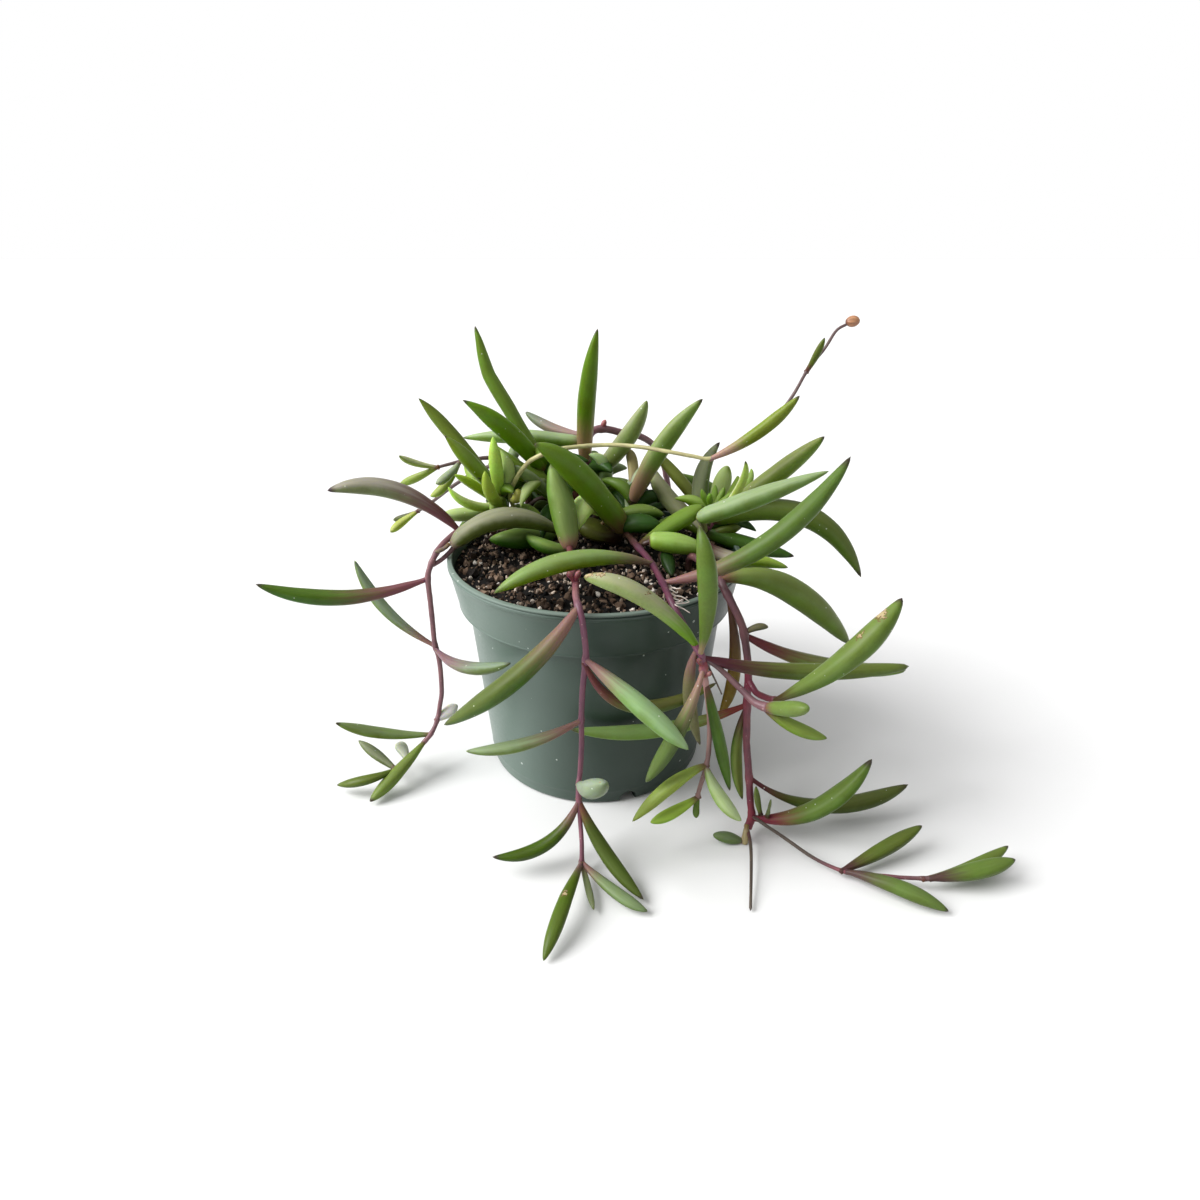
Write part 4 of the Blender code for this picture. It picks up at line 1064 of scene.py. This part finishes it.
backTrailingStem = [
    stem(
        (1.3, 0.8), [(0, "brown"), (3, "plum"), (9, "dusty")],
        [(-12, 42, 74), (-12, 42, 82), (-13.5, 45.5, 86), (-17, 52, 87), (-19, 57, 83), (-20, 59.5, 75),
         (-20, 60, 68), (-21, 62, 54), (-24, 65, 42), (-28, 70, 34)],
        leaf(2, (8, 52, 90), (20, 58, 80), 6.2, "green"),
        leaf(3, (-34, 60, 88), (-48, 66, 76), 6.4, "bright"),
        leaf(5, (-6, 70, 74), (4, 78, 60), 5.6, "waxy"),
        leaf(6, (-36, 66, 66), (-48, 74, 52), 5.6, "dusky"),
        leaf(7, (-12, 74, 48), (-4, 84, 36), 5, "green"),
        leaf(8, (-38, 74, 38), (-50, 80, 30), 4.6, "green"),
        leaf(9, (-30, 78, 26), (-28, 88, 16), 4.4, "bright"),
        leaf(9, (-36, 74, 28), (-44, 80, 20), 3.6, "green"),
    ),
]

# The flower stalk
flowerStem = [
    stem(
        (0.9, 0.45), [(0, "green"), (5, "straw"), (12, "straw"), (15, "thin")],
        [(-26, 18, 74), (-26, 18, 83), (-31, 16, 94), (-29.5, 12, 102), (-24, 6, 111), (-19, 3, 115),
         (-12.5, 4, 117), (-1.5, 7, 117.5), (7.5, 6, 118), (16, 3, 118), (25, -1, 117.5), (33, -3, 116.5),
         (39, -4, 116), (46.5, -2, 118.5), (57, 2, 124), (65.5, 4, 134), (70.5, 5, 143.5), (75.5, 6, 150),
         (78.5, 6, 155.5), (81.5, 6, 157.5), (83.5, 6, 158.5)],
        leaf(2.2, (-28.5, 11, 97), (-28, 10, 101), 4, "fresh", tone=(164, 164, 84), top=(180, 182, 110),
             taper=0),
        leaf(12, (53, -6, 125), (65, -10, 138), 5, "bright", tone=(99, 115, 21), top=(153, 170, 89),
             wax=0.3, stalk=(160, 126, 116), reach=0.36, tip=0.9),
        leaf(16, (72, 3, 148), (74, 2, 154), 2.6, "olive"),
    ),
]

# Short leaves that fill the crown: they climb a stem, each turned by the golden angle from the last
whorlForm = dict(
    goldenAngle=137.5,
    sag=14,
    wander=9,
    lengthSpread=(0.85, 1.15),
    widthSpread=(0.85, 1.1),
    stalkReach=0.1,
)


def addWhorl(axis, seed, count, climb, length, lean, width, finishes, facing=0, front=-1):
    # climb, length and lean run from the lowest leaf to the highest
    form = whorlForm
    draw = random.Random(seed)
    for number in range(count):
        share = number / max(count - 1, 1)
        at, reach, rise = (low + (high - low) * share for low, high in (climb, length, lean))
        root = routePlace(axis["route"], at)
        turn = facing + form["goldenAngle"] * number + draw.uniform(-1, 1) * form["wander"]
        reach *= draw.uniform(*form["lengthSpread"])
        rise += draw.uniform(-1, 1) * form["wander"]
        heading = Vector((math.cos(math.radians(turn)), math.sin(math.radians(turn)), 0))
        if heading.y < front:
            continue
        low, high = (math.radians(rise + side * form["sag"]) for side in (1, -1))
        middle = root + reach * 0.5 * (heading * math.cos(low) + Vector((0, 0, math.sin(low))))
        end = root + reach * (heading * math.cos(high) + Vector((0, 0, math.sin(high))))
        finish = finishes[number % len(finishes)]
        leafWidth = width * draw.uniform(*form["widthSpread"])
        grown = leaf(at, middle, end, leafWidth, finish, "clasping", reach=form["stalkReach"])
        axis["leaves"].append(grown)


addWhorl(leftRosette[0], 1, 9, (1.2, 2.9), (17, 12), (8, 58), 5.2, ["green", "lime", "bright", "lime"], 200)
addWhorl(leftTallShoot[0], 2, 9, (1.2, 2.3), (20, 15), (10, 44), 6.0, ["shade", "green", "bright"], 250)
addWhorl(middleShoot[0], 3, 10, (1.0, 1.9), (22, 15), (6, 40), 6.2, ["shade", "green", "waxy", "bright"], 280)
addWhorl(
    centreRightShoot[0], 4, 9, (1.0, 1.9), (18, 14), (6, 46), 6.0,
    ["shade", "shade", "green", "olive"], 40, -0.1,
)
addWhorl(rightRosette[0], 5, 10, (1.0, 1.7), (20, 14), (8, 44), 5.4, ["green", "shade", "lime"], 160, -0.2)
addWhorl(rightRosette[0], 8, 7, (1.9, 2.0), (11, 8), (44, 78), 3.0, ["fresh", "lime"], 100, -0.6)
addWhorl(backLeftStem[0], 6, 6, (1.3, 2.4), (18, 16), (12, 34), 5.2, ["green", "waxy"], 90)
addWhorl(backTrailingStem[0], 7, 5, (1.3, 2.6), (18, 20), (14, 26), 5.4, ["green", "shade"], 60)

budForm = dict(
    radii=(2.3, 1.7, 1.7),
    lean=(0.8, 0.0, 0.04),
    ribs=8,
    ribDepth=0.06,
    segments=32,
    rings=16,
    tone=(176, 128, 92),
    dark=(112, 74, 54),
    darkEnds=(0.72, 1.0),
    paintedGrooveShade=(0.3, 1),
    grooveShare=0.35,
)


def growBud():
    # the dry ribbed flower bud at the stalk's end
    form = budForm
    bud = straightMaster("flower_bud", form["segments"], form["rings"])
    centre = Vector(flowerStem[0]["route"][-1])
    turn = Vector(form["lean"]).to_track_quat("X", "Z")
    long, wide, deep = form["radii"]
    places, tones = [], []
    for vertex in bud.data.vertices:
        ribs = math.cos(form["ribs"] * math.atan2(vertex.co.y, vertex.co.x))
        rib = 1 + form["ribDepth"] * ribs
        spot = Vector((vertex.co.z * long, vertex.co.x * wide * rib, vertex.co.y * deep * rib))
        darker = easy(abs(vertex.co.z), *form["darkEnds"])
        # painted shade in the grooves between the ribs
        darker += form["grooveShare"] * easy(-ribs, *form["paintedGrooveShade"])
        vertex.co = (centre + turn @ spot) * mm
        places.append(tuple(vertex.co / (stemForm["streakLength"] * mm)))
        tones.append((*blend(colour(*form["tone"]), colour(*form["dark"]), min(1, darker)), 1))
    paintPoints(bud.data, "leafPlace", "FLOAT_VECTOR", places)
    paintPoints(bud.data, "leafTone", "FLOAT_COLOR", tones)
    bud.data.materials.append(skins["stem"])
    return bud


# White roots that grow from the centre right stem where it lies on the rim
airRoots = dict(
    seed=4,
    count=12,
    where=(6.6, 8.4),
    headings=((0.5, 1.0), (-0.7, 0.5), (-0.3, 0.15)),
    length=(3.0, 7.5),
    steps=3,
    sway=((-1, 1), (-1, 1), (-1, 0.6)),
    swayReach=0.7,
    radii=(0.3, 0.12),
    lowest=82.4,
    segments=6,
    ringsPerSpan=4,
)


def growAirRoots():
    form = airRoots
    draw = random.Random(form["seed"])
    threads = []
    for number in range(form["count"]):
        start = routePlace(centreRightTrailingStem[0]["route"], draw.uniform(*form["where"]))
        heading = drawVector(draw, form["headings"]).normalized()
        length = draw.uniform(*form["length"])
        route = [tuple(start)]
        for step in range(1, form["steps"] + 1):
            sway = drawVector(draw, form["sway"]) * form["swayReach"]
            spot = start + heading * length * step / form["steps"] + sway
            route.append((spot.x, spot.y, max(spot.z, form["lowest"])))
        axis = stem(form["radii"], [(0, "root")], route)
        threads.append(growStem(f"air_root_{number}", axis, form["segments"], form["ringsPerSpan"]))
    return threads


growNode("left_trailing_stem", leftTrailingStem)
growNode("front_trailing_stem", frontTrailingStem)
growNode("centre_right_trailing_stem", centreRightTrailingStem, growAirRoots())
growNode("right_trailing_stem", rightTrailingStem)
growNode("left_rosette", leftRosette)
growNode("left_tall_shoot", leftTallShoot)
growNode("middle_shoot", middleShoot)
growNode("centre_right_shoot", centreRightShoot)
growNode("right_rosette", rightRosette)
growNode("back_left_stem", backLeftStem)
growNode("back_trailing_stem", backTrailingStem)
growNode("flower_stem", flowerStem, [growBud()])
bpy.data.objects.remove(leafMaster, do_unlink=True)


# Pot: a thin moulded nursery pot with a beaded lip, a stepped collar and drain notches
potForm = dict(
    sides=128,
    height=81.5,
    rimRadius=52.5,
    lipHeight=2.2,
    lipProud=0.5,
    collarHeight=16.6,
    collarFoot=49.4,
    wallTop=46.2,
    baseRadius=40.5,
    wall=1.3,
    stepCorner=0.8,
    footRounding=1.4,
    footSteps=7,
    mouldRing=((3.5, 0), (5.0, 0), (5.4, 0.1), (5.8, 0)),
    cornerGap=0.5,       # what the wall and the collar leave to the corners above them
    wallSteps=8,
    collarSteps=5,
    drainCount=4,
    drainSides=32,
    drainRadius=3.0,
    drainHeight=1.2,
    drainDepth=12.0,
    firstDrain=-73,
    sharpAngle=28,
)

# The outline's corners: a radius and what is added to it, a height and what is added to it
stepCorners = [
    ("wallTop", 0.25, "step", -0.15),
    ("collarFoot", -0.8, "step", 0),
    ("collarFoot", -0.05, "step", 0.1),
    ("collarFoot", 0.08, "step", 0.35),
    ("collarFoot", 0.08, "step", 0.6),
    ("collarFoot", 0, "step", 0.8),
]
lipCorners = [
    ("collarTop", 0.1, "lipFoot", -0.3),
    ("rimRadius", -0.1, "lipFoot", -0.05),
    ("rimRadius", 0, "lipFoot", 0.3),
    ("rimRadius", -0.05, "lipFoot", 0.8),
    ("rimRadius", -0.4, "lipFoot", 1.05),
    ("rimRadius", -0.4, "lipFoot", 1.2),
    ("rimRadius", -0.05, "lipFoot", 1.4),
    ("rimRadius", 0, "height", -0.45),
    ("rimRadius", -0.15, "height", -0.12),
    ("rimRadius", -0.45, "height", 0),
    ("innerTop", 0.3, "height", 0),
    ("innerTop", 0, "height", -0.3),
    ("innerTop", 0, "lipFoot", 0),
    ("innerCollar", 0, "step", 0.8),
    ("innerWall", 0, "step", -0.5),
    ("innerBase", -0.4, "wall", 1.0),
    ("innerBase", -1.2, "wall", 0),
]


def potProfile():
    # radius and height, from the foot up the outside, over the lip and down the inside
    form = potForm
    wall = form["wall"]
    step = form["height"] - form["collarHeight"]
    collarTop = form["rimRadius"] - form["lipProud"]
    levels = dict(
        form,
        step=step,
        lipFoot=form["height"] - form["lipHeight"],
        collarTop=collarTop,
        innerTop=collarTop - wall,
        innerCollar=form["collarFoot"] - wall,
        innerWall=form["wallTop"] - wall,
        innerBase=form["baseRadius"] - wall,
    )

    def wallRadius(height):
        return form["baseRadius"] + (form["wallTop"] - form["baseRadius"]) * height / step

    def corners(rows):
        return [(levels[first] + outward, levels[second] + up) for first, outward, second, up in rows]

    foot = form["footRounding"]
    points = []
    for number in range(form["footSteps"]):
        angle = math.radians(-90 + 90 * number / (form["footSteps"] - 1))
        points.append((wallRadius(foot) - foot + foot * math.cos(angle), foot + foot * math.sin(angle)))
    points += [(wallRadius(height) + proud, height) for height, proud in form["mouldRing"]]
    ringHeight = form["mouldRing"][2][0]
    for number in range(1, form["wallSteps"] + 1):
        height = ringHeight + (step - form["cornerGap"] - ringHeight) * number / form["wallSteps"]
        points.append((wallRadius(height), height))
    points += corners(stepCorners)
    low = step + form["stepCorner"]
    high = levels["lipFoot"] - form["cornerGap"]
    for number in range(1, form["collarSteps"] + 1):
        share = number / form["collarSteps"]
        radius = form["collarFoot"] + (collarTop - form["collarFoot"]) * share
        points.append((radius, low + (high - low) * share))
    return points + corners(lipCorners)


def turnUp(name, sides, points):
    # a filled circle, extruded ring by ring along a profile and capped at its end
    radius, height = points[0]
    bpy.ops.mesh.primitive_circle_add(
        vertices=sides, radius=radius * mm, fill_type="NGON", location=(0, 0, height * mm),
    )
    turned = bpy.context.object
    turned.name = name
    bpy.ops.object.transform_apply(location=True, rotation=True, scale=True)
    bpy.ops.object.mode_set(mode="EDIT")
    bpy.ops.mesh.select_mode(type="EDGE")
    bpy.ops.mesh.select_all(action="SELECT")
    bpy.ops.mesh.delete(type="ONLY_FACE")
    bpy.ops.mesh.select_all(action="SELECT")
    for (oldRadius, oldHeight), (newRadius, newHeight) in zip(points, points[1:]):
        rise = (0, 0, (newHeight - oldHeight) * mm)
        bpy.ops.mesh.extrude_edges_move(TRANSFORM_OT_translate={"value": rise})
        scale = newRadius / oldRadius
        bpy.ops.transform.resize(value=(scale, scale, 1), center_override=(0, 0, newHeight * mm))
    bpy.ops.mesh.edge_face_add()
    bpy.ops.mesh.select_all(action="DESELECT")
    bpy.ops.mesh.select_non_manifold()
    bpy.ops.mesh.edge_face_add()
    bpy.ops.mesh.select_all(action="SELECT")
    bpy.ops.mesh.normals_make_consistent(inside=False)
    bpy.ops.object.mode_set(mode="OBJECT")
    return turned


def smoothBelow(piece, angle):
    # smooth shading, except at edges sharper than the angle
    bpy.context.view_layer.objects.active = piece
    piece.select_set(True)
    bpy.ops.object.shade_smooth_by_angle(angle=math.radians(angle))
    piece.select_set(False)


def drainCutters():
    form = potForm
    cutters = []
    for number in range(form["drainCount"]):
        angle = math.radians(form["firstDrain"] + 360 * number / form["drainCount"])
        outward = Vector((math.cos(angle), math.sin(angle), 0))
        bpy.ops.mesh.primitive_cylinder_add(
            vertices=form["drainSides"],
            radius=form["drainRadius"] * mm,
            depth=form["drainDepth"] * mm,
            location=(outward * form["baseRadius"] + Vector((0, 0, form["drainHeight"]))) * mm,
            rotation=outward.to_track_quat("Z", "Y").to_euler(),
        )
        cutters.append(bpy.context.object)
    return joinPieces(cutters, "drain_cutters")


# Moulded plastic: paler to the left with painted light and darker to the right with painted shade, with faint
# flow marks, a paler rim top, dust specks and an uneven gloss
potLook = dict(
    broad=(28, 3),
    fine=(900, 2),
    # deep is the plastic darkened by painted shade on the right, plastic the same plastic lightened by
    # painted light on the left
    deep=colour(37, 55, 45),
    plastic=colour(104, 121, 112),
    paintedLightSide=(-50 * mm, 12 * mm, 1.0, 0.0),
    flowMarks=(0.3, 0.7, -0.05, 0.05),
    paleRimTop=colour(132, 146, 136),
    paleRimBelow=(0.9, 0.2),
    paleRimShare=0.5,
    dust=colour(188, 196, 188),
    dustScale=380,
    dustRarity=0.87,
    dustSize=0.2,
    dustShare=0.75,
    broadRoughness=(0.3, 0.7, 0.33, 0.42),
    fineRoughness=(0.2, 0.8, -0.04, 0.04),
    heights=(0.5, 1.0),
    relief=0.2,
    reliefDepth=0.1,
    shader={"Specular IOR Level": 0.5},
)


def potPlastic():
    look = potLook
    material, tree, shader = newMaterial("potPlastic")
    coords = objectCoords(tree)
    broad = cloud(tree, coords, *look["broad"])
    fine = cloud(tree, coords, *look["fine"])
    place = split(tree, coords)
    # painted light: the share of the paler plastic rises towards the left, where the light falls, and gives
    # way to painted shade on the right
    dusty = nudged(tree, band(tree, place["X"], *look["paintedLightSide"]), broad, look["flowMarks"])
    body = mixed(tree, dusty, look["deep"], look["plastic"])
    # paler along the top of the rim
    start, end = ((potForm["height"] - below) * mm for below in look["paleRimBelow"])
    paleRimTop = band(tree, place["Z"], start, end, 0.0, look["paleRimShare"])
    body = mixed(tree, paleRimTop, body, look["paleRimTop"])
    cells = addNode(tree, "TexVoronoi", {"Vector": coords, "Scale": look["dustScale"]})
    chosen = addNode(tree, "SeparateColor", {0: cells.outputs["Color"]}).outputs
    rare = calc(tree, "GREATER_THAN", chosen[0], look["dustRarity"])
    size = times(tree, chosen[1], look["dustSize"])
    dots = times(tree, calc(tree, "LESS_THAN", cells.outputs["Distance"], size), rare)
    body = mixed(tree, times(tree, dots, look["dustShare"]), body, look["dust"])
    gloss = nudged(tree, band(tree, broad, *look["broadRoughness"]), fine, look["fineRoughness"])
    dress(tree, shader, body, gloss, layered(tree, *zip((fine, dots), look["heights"])), look)
    return material


def buildPot():
    pot = turnUp("pot_moulded", potForm["sides"], potProfile())
    cutters = drainCutters()
    cut = pot.modifiers.new("Drains", "BOOLEAN")
    cut.object = cutters
    cut.solver = "EXACT"
    bpy.context.view_layer.objects.active = pot
    bpy.ops.object.modifier_apply(modifier=cut.name)
    bpy.data.objects.remove(cutters, do_unlink=True)
    smoothBelow(pot, potForm["sharpAngle"])
    pot.data.materials.append(potPlastic())
    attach(pot, "root")
    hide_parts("pot")
    print("pot turned:", len(pot.data.polygons), "faces")


# Soil: a body of dark peat with crumbs, bark bits and white perlite on top
soilForm = dict(
    sides=128,
    top=77.6,
    radius=49.8,
    clearance=0.35,
    footChamfer=1.2,
    stepBelow=0.15,
    stepAbove=1.15,
    topRings=44,
    relief=1.3,
    lump=(3.0, 5.0, 0.7),        # the noise's level, its size and its share
    swell=(9.0, 20.0, 0.6),
    crumbs=(5.0, 1.6, 1.5),
    edgePower=8,
    grit=colour(5, 4, 4),
    loam=colour(24, 19, 16),
    gritSize=2,
    sharpAngle=50,
)

grainForm = dict(
    seed=21,
    edge=49.6,
    sizeSpread=(0.7, 1.0),
    sunk=-0.2,
    turns=((0, 6.28),) * 3,
    longest=0.7,
    wide=(0.6, 1.0),
    thick=(0.5, 0.9),
    knob=0.75,
    knobScale=1.5,
)

grains = [
    dict(
        name="clods", count=240, sizes=(1.3, 2.3), stretch=1.3, lift=0.5, segments=10, rings=8,
        tones=[(26, 20, 16), (54, 42, 34), (88, 71, 58), (126, 106, 90)],
    ),
    dict(
        name="crumbs", count=1400, sizes=(0.5, 1.6), stretch=1.3, lift=0.9, segments=6, rings=4,
        tones=[(12, 9, 8), (30, 23, 18), (58, 46, 37), (92, 75, 62)],
    ),
    dict(
        name="chips", count=1300, sizes=(0.3, 0.95), stretch=1.5, lift=1.3, segments=6, rings=4,
        tones=[(96, 78, 64), (132, 112, 96), (162, 144, 128), (186, 170, 154)],
    ),
    dict(
        name="perlite", count=190, sizes=(0.5, 1.25), stretch=1.1, lift=1.3, segments=6, rings=4,
        tones=[(204, 194, 182), (222, 214, 204), (188, 174, 162)],
    ),
]

soilLook = dict(
    coarse=(420, 4, 0.6),
    fine=(2400, 3, 0.6),
    coarseValue=(0.3, 0.7, 0.65, 1.2),
    fineValue=(0.3, 0.7, -0.2, 0.25),
    roughness=(0.3, 0.7, 0.75, 0.98),
    relief=0.6,
    reliefDepth=0.25,
    shader={"Specular IOR Level": 0.25},
)


def layerNoise(x, y, layer):
    level, size, share = layer
    return noise.noise(Vector((x, y, level)) / size) * share


def levelEdge(x, y):
    # 1 in the middle, falling to 0 at the pot's wall
    return 1 - min(1, math.hypot(x, y) / soilForm["radius"]) ** soilForm["edgePower"]


def soilHeight(x, y):
    relief = layerNoise(x, y, soilForm["lump"]) + layerNoise(x, y, soilForm["swell"])
    return soilForm["top"] + soilForm["relief"] * relief * levelEdge(x, y)


def peatMaterial():
    look = soilLook
    material, tree, shader = newMaterial("pottingSoil")
    coords = objectCoords(tree)
    tone = painted(tree, "grainTone")["Color"]
    coarse = cloud(tree, coords, *look["coarse"])
    fine = cloud(tree, coords, *look["fine"])
    value = nudged(tree, band(tree, coarse, *look["coarseValue"]), fine, look["fineValue"])
    dress(tree, shader, varied(tree, tone, value), band(tree, fine, *look["roughness"]), fine, look)
    return material


def soilBody():
    form = soilForm
    gap = potForm["wall"] + form["clearance"]
    step = potForm["height"] - potForm["collarHeight"]
    points = [
        (potForm["baseRadius"] - gap - form["footChamfer"], gap),
        (potForm["wallTop"] - gap, step - form["stepBelow"]),
        (potForm["collarFoot"] - gap, step + form["stepAbove"]),
        (form["radius"], form["top"]),
    ]
    rings = form["topRings"]
    points += [(form["radius"] * (1 - ring / rings), form["top"]) for ring in range(1, rings)]
    body = turnUp("soil_body", form["sides"], points)
    tones = []
    for vertex in body.data.vertices:
        x, y, z = vertex.co / mm
        if abs(z - form["top"]) < 0.01:
            fine = layerNoise(x, y, form["crumbs"]) * levelEdge(x, y)
            vertex.co.z = (soilHeight(x, y) + fine) * mm
        share = 0.5 + 0.5 * noise.noise(Vector((x, y, z)) / form["gritSize"])
        tones.append((*blend(form["grit"], form["loam"], share), 1))
    paintPoints(body.data, "grainTone", "FLOAT_COLOR", tones)
    return body


def scatter(kind, draw):
    # many small lumps from one master, each turned, stretched and toned on its own
    form = grainForm
    bpy.ops.mesh.primitive_uv_sphere_add(segments=kind["segments"], ring_count=kind["rings"], radius=1)
    master = bpy.context.object
    corners = [vertex.co.copy() for vertex in master.data.vertices]
    faces = [tuple(face.vertices) for face in master.data.polygons]
    bpy.data.objects.remove(master, do_unlink=True)
    places, polygons, colours = [], [], []
    for number in range(kind["count"]):
        size = draw.uniform(*kind["sizes"]) * draw.uniform(*form["sizeSpread"])
        reach = (form["edge"] - size) * math.sqrt(draw.random())
        angle = draw.uniform(0, 2 * math.pi)
        x, y = reach * math.cos(angle), reach * math.sin(angle)
        centre = Vector((x, y, soilHeight(x, y) + size * draw.uniform(form["sunk"], kind["lift"])))
        turn = Euler(drawVector(draw, form["turns"])).to_matrix()
        shape = drawVector(draw, ((form["longest"], kind["stretch"]), form["wide"], form["thick"]))
        tone = colour(*draw.choice(kind["tones"]))
        offset = len(places)
        for corner in corners:
            knob = 1 + form["knob"] * noise.noise(corner * form["knobScale"] + Vector((number, 0, 0)))
            spot = turn @ Vector([a * b for a, b in zip(corner, shape)]) * size * knob
            places.append((centre + spot) * mm)
            colours.append((*tone, 1))
        polygons += [tuple(offset + index for index in face) for face in faces]
    mesh = bpy.data.meshes.new(kind["name"])
    mesh.from_pydata(places, [], polygons)
    lumps = bpy.data.objects.new(kind["name"], mesh)
    bpy.context.collection.objects.link(lumps)
    paintPoints(mesh, "grainTone", "FLOAT_COLOR", colours)
    return lumps


def buildSoil():
    draw = random.Random(grainForm["seed"])
    pieces = [soilBody()] + [scatter(kind, draw) for kind in grains]
    soil = joinPieces(pieces, "soil_mixed")
    soil.data.materials.append(peatMaterial())
    smoothBelow(soil, soilForm["sharpAngle"])
    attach(soil, "root")
    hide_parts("soil")
    print("soil laid:", len(soil.data.polygons), "faces")


buildPot()
buildSoil()
